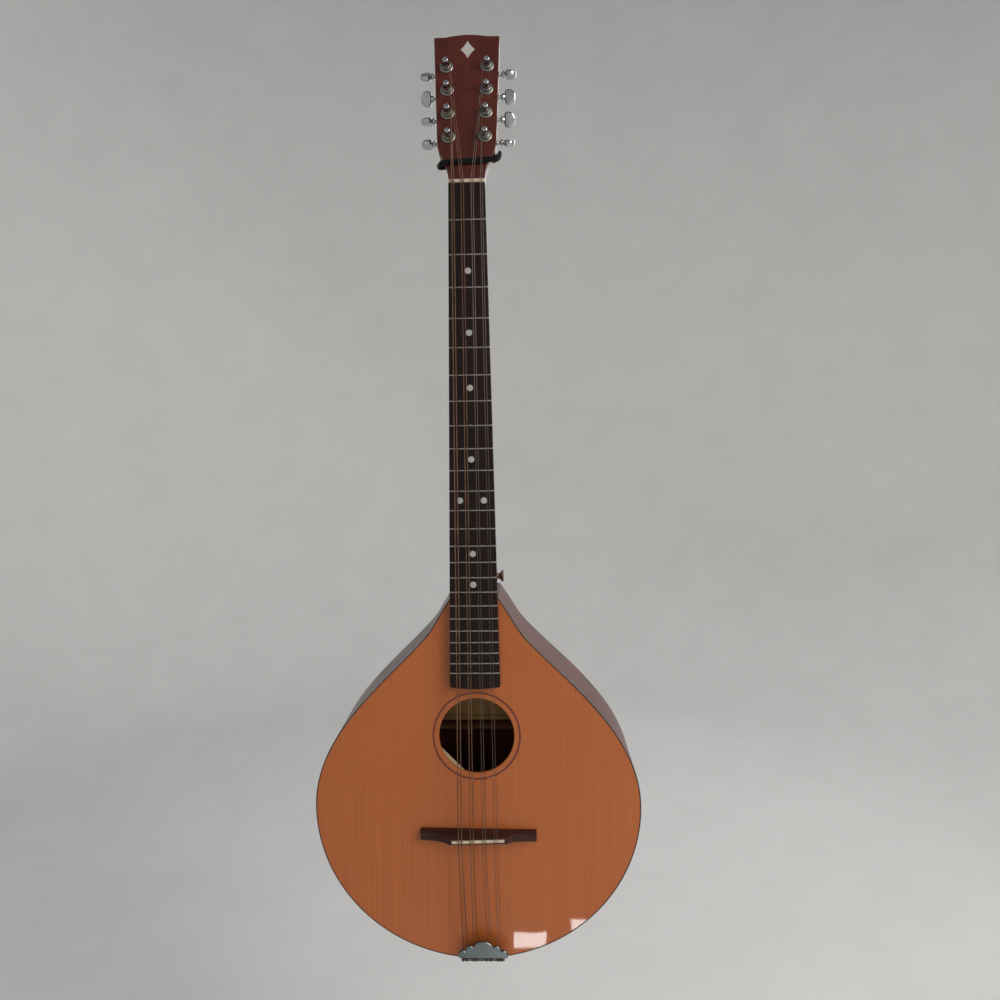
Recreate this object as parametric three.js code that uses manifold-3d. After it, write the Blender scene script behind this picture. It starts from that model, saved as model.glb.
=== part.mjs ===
// Flat-backed bouzouki with four double courses, built as separate pieces.
// Millimetres. +Z runs up the neck to the head, +Y goes from the soundboard to the back,
// +X is the treble side. The origin is at the nut, level with the face of the soundboard.

import * as THREE from 'three';
import { mergeVertices } from 'three/addons/utils/BufferGeometryUtils.js';
import Module from 'manifold-3d';

const wasm = await Module();
wasm.setup();

// ---------- driving dimensions ----------

const GLUE_GAP = 0.15; // between flat faces that are glued together
const CUT_GAP = 0.3; // between a piece and the pocket or slot that it sits in

// body
const BODY_DEPTH = 88; // below the back's bend
const NECK_END_DEPTH = 67; // at the neck joint
const TOP_THICKNESS = 3;
const BACK_THICKNESS = 3;
const SIDE_THICKNESS = 2.5;
const BODY_HALF_WIDTH = 164.6;
const NECK_JOINT_Z = -414.2;
const NECK_JOINT_HALF_WIDTH = 24.2;
const WIDEST_Z = -625; // where the back bends too
const TAIL_Z = -780;
const HOLE_Z = -553.8;
const HOLE_RADIUS = 38;
const HOLE_X = 0.35;

// blocks and braces
const NECK_BLOCK_END_Z = -465;
const TAIL_BLOCK_TOP_Z = -758;
const TAIL_BLOCK_HALF_WIDTH = 32;
const TENON = { halfWidth: 8.5, front: 6, back: 54, length: 20 };
const X_BRACE = { crossX: 5, crossZ: -618, width: 7, depth: 10, upper: 134, lower: 146 };
const TOP_BAR = { z: -690, halfLength: 88 };
const BACK_BARS = [{ z: -487, halfLength: 74 }, { z: -573.2, halfLength: 146 }, { z: -700, halfLength: 134 }];
const BACK_BAR = { width: 5, depth: 16 };
const BACK_STRIP = { halfWidth: 5.7, thickness: 1.5, end: -753 };
const LABEL = { halfWidth: 43.8, top: -495.5, bottom: -569.2, thickness: 0.4 };

// fingerboard and nut
const BOARD_THICKNESS = 7.5;
const BOARD_LENGTH = 502;
const BOARD_END_CROWN = 2;
const BOARD_NUT_HALF_WIDTH = 18.2;
const BOARD_END_HALF_WIDTH = 25.3;
const NUT_HEIGHT = 9.4;
const NUT_LENGTH = 4;

// neck
const NECK_DEPTH_AT_NUT = 14.5;
const NECK_DEPTH_AT_HEEL = 17.5;
const HEEL_START_Z = -341;
const HEEL_FULL_Z = -399;
const HEEL_TAPER = 0.2;
const HEEL_SQUARENESS = 14;
const ROD = { halfWidth: 2.7, depth: 8.4, from: -6, to: -405 };

// head
const HEAD_ANGLE = THREE.MathUtils.degToRad(13.4);
const HEAD_ORIGIN = new THREE.Vector3(0, -5, 4.3);
const HEAD_THICKNESS = 15.5; // with its veneer
const VENEER_THICKNESS = 2;
const HEAD_LENGTH = 164.3;
const HEAD_CREST = 2.8;

// tuners, in the head's own frame: x across, y from the face to the back, z up the head
const TUNERS_PER_SIDE = 4;
const FIRST_POST_Z = 47.7;
const POST_SPACING = 27;
const LOWEST_POST_X = 18.5;
const HIGHEST_POST_X = 21.1;
const BUSHING_HOLE_RADIUS = 4.8;
const WORM_OFFSET = 5.5; // from the post's axis, up the head
const WORM_Y = 21.3;
const WORM_RADIUS = 1.6;
const GEAR_RADIUS = 3.6;
const POST_RADIUS = 2.9;
// Degrees, from the lowest tuner up.
const KNOB_REST_TURNS = { bass: [10, 23, 117, 51], treble: [37, 127, 105, 19] };

// bridge, saddle and tailpiece
const BRIDGE = {
  x: 0.8, z: -652, lower: -5.2, halfLength: 58.4, height: 12.5, wing: 6, foot: 10, crown: 6.2,
};
const BRIDGE_SLANT = THREE.MathUtils.degToRad(0.9);
const CREST_SKEW = Math.tan(THREE.MathUtils.degToRad(2.1)); // of the bridge's top, against its foot
const SADDLE = { halfLength: 26.2, thickness: 2.8, top: 14.2, seat: 7, z: -2 };
const SADDLE_SLANT = THREE.MathUtils.degToRad(-2.5); // in the bridge
const TAILPIECE_X = 3.9;
const TAILPIECE = {
  top: -755.5, bottom: -772.4, face: -11.2, thickness: 2.2, strapHalfWidth: 21, strapEnd: 46,
};
const LOBE_JUNCTIONS = [[18.1, 7.2], [10.1, 11], [-10.1, 11], [-18.1, 7.2], [-24.8, 3]]; // above the bottom
const LOBE_HANDLES = [8.6, 13.4, 18.8, 13.4, 8.6]; // heights of each lobe's handles above the bottom
const LOBE_HANDLE_REACH = 0.2; // of the lobe's width
const TAILPIECE_HALF_WIDTH = 24.8;
const END_PIN_Y = 34;
const END_PIN_RADIUS = 3.6;
const BUTTON = { y: 38, z: -400.4 };

// strings, from the bass side to the treble side
const STRING_RADII = [0.5, 0.5, 0.4, 0.4, 0.3, 0.3, 0.25, 0.25];
const NUT_X = [-14.7, -12.4, -5.4, -3.0, 4.5, 6.6, 13.6, 15.6];
const SADDLE_X = [-18.5, -15.3, -6.6, -3.7, 5.7, 8.3, 17.2, 19.9];
const TAIL_X = [-16.5, -12.7, -5.9, -2.5, 7.1, 11.3, 18.4, 21.6];
const STRING_NAMES = [
  'bass_1', 'bass_2', 'second_1', 'second_2', 'third_1', 'third_2', 'treble_1', 'treble_2',
];
const STRING_HOLE_Y = -6.5;
const POST_STRING_Y = [-7.3, -6.9, -6.5, -6.1]; // where a string meets its post, from the lowest post up

// cord tied round the throat
const CORD = { width: 6.4, thickness: 3.4 };

// ---------- materials ----------

const COLOURS = {
  spruce: { color: 0xc98a52, roughness: 0.35, metalness: 0 },
  brace: { color: 0xc9a779, roughness: 0.8, metalness: 0 },
  sidewood: { color: 0x6d4a3a, roughness: 0.35, metalness: 0 },
  mahogany: { color: 0x5a2d22, roughness: 0.45, metalness: 0 },
  rosewood: { color: 0x35231c, roughness: 0.5, metalness: 0 },
  bone: { color: 0xe2d8bd, roughness: 0.45, metalness: 0 },
  chrome: { color: 0xc9ccd0, roughness: 0.15, metalness: 1 },
  satin: { color: 0x8f969b, roughness: 0.4, metalness: 1 },
  steel: { color: 0x9a9a98, roughness: 0.3, metalness: 1 },
  bronze: { color: 0xa8714a, roughness: 0.35, metalness: 1 },
  cord: { color: 0x151516, roughness: 0.9, metalness: 0 },
  paper: { color: 0xb79a6a, roughness: 0.9, metalness: 0 },
};

function piece(name, geometry, colour) {
  const mesh = new THREE.Mesh(geometry, new THREE.MeshStandardMaterial(COLOURS[colour]));
  mesh.name = name;
  return mesh;
}

// ---------- joining and cutting ----------

function solid(geometry) {
  const bare = geometry.clone();
  bare.deleteAttribute('normal');
  bare.deleteAttribute('uv');
  const merged = mergeVertices(bare, 1e-4);
  return new wasm.Manifold(new wasm.Mesh({
    numProp: 3,
    vertProperties: new Float32Array(merged.attributes.position.array),
    triVerts: new Uint32Array(merged.index.array),
  }));
}

function geometryOf(manifold) {
  const mesh = manifold.getMesh();
  const geometry = new THREE.BufferGeometry();
  geometry.setAttribute('position', new THREE.BufferAttribute(mesh.vertProperties, 3));
  geometry.setIndex(new THREE.BufferAttribute(mesh.triVerts, 1));
  geometry.computeVertexNormals();
  return geometry;
}

function carve(base, { add = [], cut = [] }) {
  let result = solid(base);
  for (const geometry of add) {
    result = result.add(solid(geometry));
  }
  for (const geometry of cut) {
    result = result.subtract(solid(geometry));
  }
  return geometryOf(result);
}

// ---------- basic forms ----------

function box(x0, x1, y0, y1, z0, z1) {
  const geometry = new THREE.BoxGeometry(x1 - x0, y1 - y0, z1 - z0);
  return geometry.translate((x0 + x1) / 2, (y0 + y1) / 2, (z0 + z1) / 2);
}

// A plate whose outline lies in the XZ plane, from y0 (nearer the player) to y1.
function slab(shape, y0, y1, curveSegments = 12) {
  const geometry = new THREE.ExtrudeGeometry(shape, { depth: y1 - y0, bevelEnabled: false, curveSegments });
  return geometry.rotateX(Math.PI / 2).translate(0, y1, 0);
}

// A bar whose outline, given as [y, z] points, lies in the YZ plane, from x0 to x1.
function bar(outline, x0, x1) {
  const shape = new THREE.Shape(outline.map(([y, z]) => new THREE.Vector2(y, z)));
  const geometry = new THREE.ExtrudeGeometry(shape, { depth: x1 - x0, bevelEnabled: false });
  const axes = new THREE.Matrix4().makeBasis(
    new THREE.Vector3(0, 1, 0), new THREE.Vector3(0, 0, 1), new THREE.Vector3(1, 0, 0));
  return geometry.applyMatrix4(axes).translate(x0, 0, 0);
}

function cylinderAlongY(radius, y0, y1, x, z, sides = 20) {
  return new THREE.CylinderGeometry(radius, radius, y1 - y0, sides).translate(x, (y0 + y1) / 2, z);
}

function reverseFaces(geometry) {
  const { array } = geometry.index;
  for (let i = 0; i < array.length; i += 3) {
    [array[i], array[i + 1]] = [array[i + 1], array[i]];
  }
  geometry.computeVertexNormals();
  return geometry;
}

// Turns an indexed closed surface so that its faces point out of the volume it holds.
function facingOut(geometry) {
  const { position } = geometry.attributes;
  const corner = (i) => new THREE.Vector3().fromBufferAttribute(position, geometry.index.getX(i));
  let volume = 0;
  for (let i = 0; i < geometry.index.count; i += 3) {
    volume += corner(i).dot(corner(i + 1).cross(corner(i + 2)));
  }
  return volume < 0 ? reverseFaces(geometry) : geometry;
}

// A turned piece from [radius, distance] points, its axis along +Y.
function turned(profile, sides) {
  const points = profile.map(([radius, along]) => new THREE.Vector2(radius, along));
  return facingOut(new THREE.LatheGeometry(points, sides));
}

// A skin through rings of points. Open skins get flat ends, closed ones join the last ring to the first.
function loft(rings, closed = false) {
  const count = rings[0].length;
  const positions = rings.flat().flatMap((point) => [point.x, point.y, point.z]);
  const index = [];
  const spans = closed ? rings.length : rings.length - 1;
  for (let i = 0; i < spans; i += 1) {
    const next = ((i + 1) % rings.length) * count;
    for (let k = 0; k < count; k += 1) {
      const a = i * count + k;
      const b = i * count + ((k + 1) % count);
      const c = next + ((k + 1) % count);
      const d = next + k;
      index.push(a, b, c, a, c, d);
    }
  }
  if (!closed) {
    const last = (rings.length - 1) * count;
    for (let k = 1; k < count - 1; k += 1) {
      index.push(0, k + 1, k, last, last + k, last + k + 1);
    }
  }
  const geometry = new THREE.BufferGeometry();
  geometry.setAttribute('position', new THREE.BufferAttribute(new Float32Array(positions), 3));
  geometry.setIndex(index);
  geometry.computeVertexNormals();
  return facingOut(geometry);
}

// A route with straight runs between its points, and one step of a swept tube at each point.
class Route extends THREE.Curve {
  constructor(points) {
    super();
    this.points = points;
  }

  getPoint(t, target = new THREE.Vector3()) {
    const along = t * (this.points.length - 1);
    const start = Math.min(Math.floor(along), this.points.length - 2);
    return target.lerpVectors(this.points[start], this.points[start + 1], along - start);
  }

  getPointAt(u, target) {
    return this.getPoint(u, target);
  }

  getTangentAt(u, target) {
    return this.getTangent(u, target);
  }
}

function wire(points, radius, sides = 6) {
  const section = new THREE.Shape();
  section.absarc(0, 0, radius, 0, Math.PI * 2);
  const extrudePath = new Route(points);
  const steps = points.length - 1;
  return new THREE.ExtrudeGeometry(section, { steps, curveSegments: sides / 2, extrudePath });
}

// ---------- outlines ----------

const TAIL_RADIUS = WIDEST_Z - TAIL_Z;
const SHOULDER_START = new THREE.Vector2(53.1, -456.6); // gives the outline's direction at the neck joint
const END_SLOPE = (SHOULDER_START.x - NECK_JOINT_HALF_WIDTH) / (NECK_JOINT_Z - SHOULDER_START.y);

// One half of the body's outline, from the neck joint to the tail, moved inwards by inset.
function halfOutline(inset = 0) {
  const shoulder = new THREE.CubicBezierCurve(
    new THREE.Vector2(NECK_JOINT_HALF_WIDTH, NECK_JOINT_Z), SHOULDER_START,
    new THREE.Vector2(31.6, -437.3), new THREE.Vector2(93, -497));
  const flank = new THREE.CubicBezierCurve(
    new THREE.Vector2(93, -497), new THREE.Vector2(129.2, -533),
    new THREE.Vector2(BODY_HALF_WIDTH, -574), new THREE.Vector2(BODY_HALF_WIDTH, WIDEST_Z));
  const bout = new THREE.EllipseCurve(0, WIDEST_Z, BODY_HALF_WIDTH, TAIL_RADIUS, 0, -Math.PI / 2, true);
  const points = [...shoulder.getPoints(8), ...flank.getPoints(10).slice(1), ...bout.getPoints(18).slice(1)];
  return points.map((point, i) => {
    const before = points[Math.max(i - 1, 0)];
    const after = i === points.length - 1 ? new THREE.Vector2(-before.x, before.y) : points[i + 1];
    const tangent = after.clone().sub(before).normalize();
    return new THREE.Vector2(point.x + tangent.y * inset, point.y - tangent.x * inset);
  });
}

function mirrored(points) {
  return points.map((point) => new THREE.Vector2(-point.x, point.y)).reverse();
}

function bodyShape() {
  const half = halfOutline();
  return new THREE.Shape([...half, ...mirrored(half).slice(1)]);
}

function headHalfOutline() {
  const path = new THREE.Path();
  path.moveTo(BOARD_NUT_HALF_WIDTH, 0);
  path.bezierCurveTo(BOARD_NUT_HALF_WIDTH + 0.2, 7, 20, 14, 22.2, 19);
  path.bezierCurveTo(25.5, 26, 29, 30, 29.8, 40);
  path.lineTo(34.2, HEAD_LENGTH);
  return path.getPoints(4);
}

function headShape() {
  const half = headHalfOutline();
  const shape = new THREE.Shape(half);
  shape.lineTo(22, HEAD_LENGTH);
  shape.quadraticCurveTo(9, HEAD_LENGTH + HEAD_CREST, 0, HEAD_LENGTH + HEAD_CREST);
  shape.quadraticCurveTo(-9, HEAD_LENGTH + HEAD_CREST, -22, HEAD_LENGTH);
  for (const point of mirrored(half)) {
    shape.lineTo(point.x, point.y);
  }
  return shape;
}

// ---------- body ----------

function soundboard() {
  const shape = bodyShape();
  const hole = new THREE.Path();
  hole.absarc(HOLE_X, HOLE_Z, HOLE_RADIUS, 0, Math.PI * 2, false);
  shape.holes.push(hole);
  return piece('soundboard', slab(shape, 0, TOP_THICKNESS, 24), 'spruce');
}

// The depth of the body at z: even below the bend, and less and less from there to the neck.
function backDepth(z) {
  const share = Math.max(0, (z - WIDEST_Z) / (NECK_JOINT_Z - WIDEST_Z));
  return THREE.MathUtils.lerp(BODY_DEPTH, NECK_END_DEPTH, share);
}

// Moves the rear half of a geometry to where the back is.
function followBack(geometry) {
  const { position } = geometry.attributes;
  for (let i = 0; i < position.count; i += 1) {
    if (position.getY(i) > BODY_DEPTH / 2) {
      position.setY(i, position.getY(i) + backDepth(position.getZ(i)) - BODY_DEPTH);
    }
  }
  geometry.computeVertexNormals();
  return geometry;
}

function back() {
  const rings = halfOutline().map(({ x, y: z }) => {
    const half = Math.max(x, CUT_GAP);
    const outside = backDepth(z);
    const inside = outside - BACK_THICKNESS;
    return [[-half, inside], [half, inside], [half, outside], [-half, outside]].map(([across, y]) => (
      new THREE.Vector3(across, y, z)));
  });
  return piece('back', loft(rings), 'sidewood');
}

const INSIDE_FRONT = TOP_THICKNESS + GLUE_GAP;
const INSIDE_BACK = BODY_DEPTH - BACK_THICKNESS - GLUE_GAP;

function endPinHole() {
  return new THREE.CylinderGeometry(END_PIN_RADIUS + CUT_GAP, END_PIN_RADIUS + CUT_GAP, 60, 16)
    .rotateX(Math.PI / 2)
    .translate(0, END_PIN_Y, TAIL_Z);
}

// Each side turns in across the body's flat upper end as far as the tenon.
function side(name, sign) {
  const outer = halfOutline();
  const inner = halfOutline(SIDE_THICKNESS);
  const endX = TENON.halfWidth + CUT_GAP;
  const endZ = NECK_JOINT_Z - SIDE_THICKNESS;
  const cornerX = inner[0].x + (inner[0].y - endZ) * END_SLOPE;
  outer.unshift(new THREE.Vector2(endX, NECK_JOINT_Z));
  inner.splice(0, 1, new THREE.Vector2(endX, endZ), new THREE.Vector2(cornerX, endZ));
  const strip = [...outer, ...inner.reverse()].map((point) => (
    new THREE.Vector2(sign * Math.max(point.x, GLUE_GAP), point.y)));
  const geometry = followBack(slab(new THREE.Shape(strip), INSIDE_FRONT, INSIDE_BACK));
  return piece(name, carve(geometry, { cut: [endPinHole()] }), 'sidewood');
}

function neckBlock() {
  const blockTop = NECK_JOINT_Z - SIDE_THICKNESS - CUT_GAP;
  const inner = halfOutline(SIDE_THICKNESS + CUT_GAP);
  const flanks = inner.filter((point) => point.y > NECK_BLOCK_END_Z && point.y < blockTop);
  const last = flanks[flanks.length - 1];
  const half = [
    new THREE.Vector2(inner[0].x + (inner[0].y - blockTop) * END_SLOPE, blockTop),
    ...flanks,
    new THREE.Vector2(last.x, NECK_BLOCK_END_Z),
  ];
  const geometry = followBack(slab(new THREE.Shape([...half, ...mirrored(half)]), INSIDE_FRONT, INSIDE_BACK));
  const mortise = box(
    -TENON.halfWidth - CUT_GAP, TENON.halfWidth + CUT_GAP, TENON.front - CUT_GAP, TENON.back + CUT_GAP,
    NECK_JOINT_Z - TENON.length - CUT_GAP, NECK_JOINT_Z + 1);
  return piece('neck_block', carve(geometry, { cut: [mortise] }), 'mahogany');
}

function tailBlock() {
  const inner = halfOutline(SIDE_THICKNESS + CUT_GAP).filter((point) => point.x < TAIL_BLOCK_HALF_WIDTH);
  const below = inner.filter((point) => point.y < TAIL_BLOCK_TOP_Z);
  const half = [new THREE.Vector2(inner[0].x, TAIL_BLOCK_TOP_Z), ...below];
  const geometry = slab(new THREE.Shape([...half, ...mirrored(half).slice(1)]), INSIDE_FRONT, INSIDE_BACK);
  return piece('tail_block', carve(geometry, { cut: [endPinHole()] }), 'mahogany');
}

function topBracing() {
  const front = INSIDE_FRONT;
  const rear = INSIDE_FRONT + X_BRACE.depth;
  const halfBar = X_BRACE.width / 2;
  const arms = [-1, 1].map((sign) => box(-halfBar, halfBar, front, rear, -X_BRACE.lower, X_BRACE.upper)
    .rotateY(sign * Math.PI / 4)
    .translate(X_BRACE.crossX, 0, X_BRACE.crossZ));
  const lowerBar = box(
    -TOP_BAR.halfLength, TOP_BAR.halfLength, front, rear - 2, TOP_BAR.z - halfBar, TOP_BAR.z + halfBar);
  return piece('top_bracing', carve(arms[0], { add: [arms[1], lowerBar] }), 'brace');
}

function backBracing() {
  const front = INSIDE_BACK - BACK_BAR.depth;
  const halfBar = BACK_BAR.width / 2;
  const stations = [BACK_BARS[0].z, WIDEST_Z, BACK_STRIP.end];
  const line = stations.map((z) => [INSIDE_BACK - BODY_DEPTH + backDepth(z), z]);
  const face = line.map(([y, z]) => [y - BACK_STRIP.thickness, z]);
  const strip = bar([...line, ...face.reverse()], -BACK_STRIP.halfWidth, BACK_STRIP.halfWidth);
  const bars = BACK_BARS.map(({ z, halfLength }) => (
    followBack(box(-halfLength, halfLength, front, INSIDE_BACK, z - halfBar, z + halfBar))));
  return piece('back_bracing', carve(strip, { add: bars }), 'brace');
}

function label() {
  const rear = INSIDE_BACK - BACK_STRIP.thickness - CUT_GAP;
  const geometry = box(
    -LABEL.halfWidth, LABEL.halfWidth, rear - LABEL.thickness, rear, LABEL.bottom, LABEL.top);
  return piece('label', followBack(geometry), 'paper');
}

// ---------- neck and head ----------

function boardHalfWidth(z) {
  return THREE.MathUtils.mapLinear(z, 0, -BOARD_LENGTH, BOARD_NUT_HALF_WIDTH, BOARD_END_HALF_WIDTH);
}

const HEEL_DEPTH = NECK_END_DEPTH - 0.4;

// How far the heel has swept back at z: 0 along the shaft, 1 where it is full depth.
function heelSweep(z) {
  return THREE.MathUtils.clamp((z - HEEL_START_Z) / (HEEL_FULL_Z - HEEL_START_Z), 0, 1);
}

function neckDepth(z) {
  const shaft = THREE.MathUtils.mapLinear(z, 0, HEEL_START_Z, NECK_DEPTH_AT_NUT, NECK_DEPTH_AT_HEEL);
  const sweep = heelSweep(z);
  const rise = 1 - Math.sqrt(1 - sweep ** 2.6);
  return THREE.MathUtils.lerp(shaft, HEEL_DEPTH, rise);
}

function neckHalfWidthAt(z, share) {
  const round = Math.sqrt(Math.max(0, 1 - share ** 2));
  const square = (1 - HEEL_TAPER * share) * Math.sqrt(Math.max(0, 1 - share ** HEEL_SQUARENESS));
  return boardHalfWidth(Math.max(z, -370)) * THREE.MathUtils.lerp(round, square, heelSweep(z));
}

function neckRing(z) {
  const depth = neckDepth(z);
  const ring = [];
  const steps = 16;
  for (let i = 0; i <= steps; i += 1) {
    const angle = (Math.PI * i) / steps;
    const share = Math.sin(angle);
    const x = Math.sign(Math.cos(angle)) * neckHalfWidthAt(z, share);
    ring.push(new THREE.Vector3(i === steps / 2 ? 0 : x, depth * share, z));
  }
  return ring;
}

function headFrame() {
  return new THREE.Matrix4().compose(
    HEAD_ORIGIN,
    new THREE.Quaternion().setFromEuler(new THREE.Euler(-HEAD_ANGLE, 0, 0)),
    new THREE.Vector3(1, 1, 1));
}

function postPlaces() {
  const places = [];
  for (const [sideName, sign] of [['bass', -1], ['treble', 1]]) {
    for (let i = 0; i < TUNERS_PER_SIDE; i += 1) {
      const x = THREE.MathUtils.lerp(LOWEST_POST_X, HIGHEST_POST_X, i / (TUNERS_PER_SIDE - 1));
      places.push({ sideName, sign, number: i + 1, x: sign * x, z: FIRST_POST_Z + i * POST_SPACING });
    }
  }
  return places;
}

function bushingHoles() {
  return postPlaces().map(({ x, z }) => cylinderAlongY(BUSHING_HOLE_RADIUS, -5, 25, x, z, 14));
}

function nutSeat() {
  return box(-40, 40, -20, 0, -1, NUT_LENGTH + GLUE_GAP);
}

function neck() {
  const shaftEnds = [6, -6, -60, -120, -180, -240, -300, HEEL_START_Z];
  const heelSteps = [0.3, 0.5, 0.66, 0.78, 0.87, 0.93, 0.97, 0.99, 1];
  const heelEnds = heelSteps.map((step) => THREE.MathUtils.lerp(HEEL_START_Z, HEEL_FULL_Z, step));
  const joint = NECK_JOINT_Z + CUT_GAP;
  const shaft = loft([...shaftEnds, ...heelEnds, joint].map(neckRing));
  const volute = loft([-8, 2, 10, 18].map((z, i) => (
    neckRing(Math.min(z, 0)).map((point) => new THREE.Vector3(
      point.x * 0.995, Math.max(point.y * [0.9, 0.985, 0.9, 0.7][i], 0.9), z)))));
  const plate = slab(headShape(), VENEER_THICKNESS + GLUE_GAP, HEAD_THICKNESS, 4).applyMatrix4(headFrame());
  const tenon = box(
    -TENON.halfWidth, TENON.halfWidth, TENON.front, TENON.back, joint - TENON.length, joint + 4);
  const channel = box(
    -ROD.halfWidth - CUT_GAP, ROD.halfWidth + CUT_GAP, -1, ROD.depth + 2 * CUT_GAP,
    ROD.to - CUT_GAP, ROD.from + CUT_GAP);
  const holes = bushingHoles().map((hole) => hole.applyMatrix4(headFrame()));
  const geometry = carve(shaft, { add: [volute, plate, tenon], cut: [channel, nutSeat(), ...holes] });
  return piece('neck', geometry, 'mahogany');
}

function headVeneer() {
  const sheet = slab(headShape(), 0, VENEER_THICKNESS, 4);
  const seat = nutSeat().applyMatrix4(headFrame().invert());
  return piece('head_veneer', carve(sheet, { cut: [...bushingHoles(), seat] }), 'mahogany');
}

function trussRod() {
  const geometry = box(-ROD.halfWidth, ROD.halfWidth, CUT_GAP, ROD.depth + CUT_GAP, ROD.to, ROD.from);
  return piece('truss_rod', geometry, 'steel');
}

function fingerboard() {
  const shape = new THREE.Shape();
  shape.moveTo(BOARD_NUT_HALF_WIDTH, 0);
  shape.lineTo(BOARD_END_HALF_WIDTH, -BOARD_LENGTH);
  shape.quadraticCurveTo(0, -BOARD_LENGTH - 2 * BOARD_END_CROWN, -BOARD_END_HALF_WIDTH, -BOARD_LENGTH);
  shape.lineTo(-BOARD_NUT_HALF_WIDTH, 0);
  return piece('fingerboard', slab(shape, -BOARD_THICKNESS, -GLUE_GAP, 10), 'rosewood');
}

function nut() {
  const outline = [
    [-GLUE_GAP, GLUE_GAP], [-GLUE_GAP, NUT_LENGTH], [-NUT_HEIGHT + 1.8, NUT_LENGTH],
    [-NUT_HEIGHT + 0.3, 2.2], [-NUT_HEIGHT, 0.8], [-NUT_HEIGHT, GLUE_GAP],
  ];
  return piece('nut', bar(outline.reverse(), -BOARD_NUT_HALF_WIDTH, BOARD_NUT_HALF_WIDTH), 'bone');
}

// ---------- tuners ----------

function tunerHousing() {
  const shape = new THREE.Shape();
  shape.moveTo(-4.5, -7);
  shape.lineTo(6.5, -7);
  shape.quadraticCurveTo(9.5, -7, 9.5, -4);
  shape.lineTo(9.5, 7.5);
  shape.quadraticCurveTo(9.5, 10, 7, 10);
  shape.lineTo(-5, 10);
  shape.quadraticCurveTo(-7.5, 10, -7.5, 7.5);
  shape.lineTo(-7.5, -4);
  shape.quadraticCurveTo(-7.5, -7, -4.5, -7);
  const front = HEAD_THICKNESS + CUT_GAP;
  const rear = front + 11.2;
  const ear = new THREE.Shape();
  ear.moveTo(-4, -5);
  ear.lineTo(-4, -9.5);
  ear.absarc(0, -9.5, 4, Math.PI, Math.PI * 2);
  ear.lineTo(4, -5);
  const worm = new THREE.CylinderGeometry(WORM_RADIUS + CUT_GAP, WORM_RADIUS + CUT_GAP, 20, 10)
    .rotateZ(Math.PI / 2)
    .translate(4, WORM_Y, WORM_OFFSET);
  return carve(slab(shape, front, rear, 3), {
    add: [slab(ear, front, front + 1.4, 4)],
    cut: [
      cylinderAlongY(POST_RADIUS + CUT_GAP, front - 1, front + 3, 0, 0, 12),
      cylinderAlongY(GEAR_RADIUS + CUT_GAP, front + 1.4, rear - 1.6, 0, 0, 12),
      cylinderAlongY(1.2, front - 1, front + 3, 0, -9.7, 6),
      worm,
    ],
  });
}

function tunerBushing() {
  const bore = POST_RADIUS + CUT_GAP;
  const sleeve = BUSHING_HOLE_RADIUS - CUT_GAP;
  return turned([
    [bore, -4], [bore, 12], [sleeve, 12], [sleeve, -GLUE_GAP], [7, -GLUE_GAP], [7, -0.9],
    [6.5, -1.2], [5.1, -1.3], [5.1, -3.5], [4.6, -4], [bore, -4],
  ], 14);
}

function tunerPost() {
  const gearFront = HEAD_THICKNESS + 2.4;
  const post = turned([
    [0, -12.6], [2.4, -12.6], [POST_RADIUS, -12.1], [POST_RADIUS, -8.4], [2.3, -7.4], [2.3, -5.6],
    [POST_RADIUS, -4.4], [POST_RADIUS, gearFront], [GEAR_RADIUS, gearFront],
    [GEAR_RADIUS, gearFront + 6.6], [0, gearFront + 6.6],
  ], 12);
  const stringHole = new THREE.CylinderGeometry(0.8, 0.8, 12, 6)
    .rotateZ(Math.PI / 2)
    .translate(0, STRING_HOLE_Y, 0);
  return carve(post, { cut: [stringHole] });
}

// The worm, its shaft and the button on its end, turning about +X through the origin.
function tunerKnob(restTurn) {
  const shaft = turned([
    [0, -5.6], [WORM_RADIUS, -5.6], [WORM_RADIUS, 9.9], [3.3, 9.9], [3.3, 12.4], [2.1, 12.8],
    [2.1, 15], [3.7, 15.4], [3.7, 17.4], [2.6, 18], [2.6, 21], [0, 21],
  ], 10).rotateZ(-Math.PI / 2);
  const wing = new THREE.Shape();
  wing.moveTo(18, -3);
  wing.quadraticCurveTo(18.3, -7.4, 20.6, -7.7);
  wing.bezierCurveTo(25.5, -8.2, 29.2, -5, 29.2, 0);
  wing.bezierCurveTo(29.2, 5, 25.5, 8.2, 20.6, 7.7);
  wing.quadraticCurveTo(18.3, 7.4, 18, 3);
  const button = new THREE.ExtrudeGeometry(wing, {
    depth: 4.2, bevelEnabled: true, bevelThickness: 1, bevelSize: 0.8, bevelSegments: 1, curveSegments: 3,
  }).translate(0, 0, -2.1);
  return carve(shaft, { add: [button] }).rotateX(THREE.MathUtils.degToRad(restTurn));
}

function tuner({ sideName, sign, number, x, z }) {
  const group = new THREE.Group();
  const name = (what) => `${sideName}_tuner_${number}_${what}`;
  group.position.set(x, 0, z);
  const housing = piece(name('housing'), tunerHousing(), 'chrome');
  const knob = piece(name('knob'), tunerKnob(KNOB_REST_TURNS[sideName][number - 1]), 'chrome');
  if (sign < 0) {
    mirrorAcross(housing.geometry);
    mirrorAcross(knob.geometry);
  }
  knob.position.set(0, WORM_Y, WORM_OFFSET);
  group.add(
    housing,
    knob,
    piece(name('bushing'), tunerBushing(), 'chrome'),
    piece(name('post'), tunerPost(), 'chrome'));
  return group;
}

// Reflects a geometry in the plane x = 0 and keeps its faces pointing outwards.
function mirrorAcross(geometry) {
  geometry.scale(-1, 1, 1);
  reverseFaces(geometry);
}

// ---------- bridge and tailpiece ----------

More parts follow.
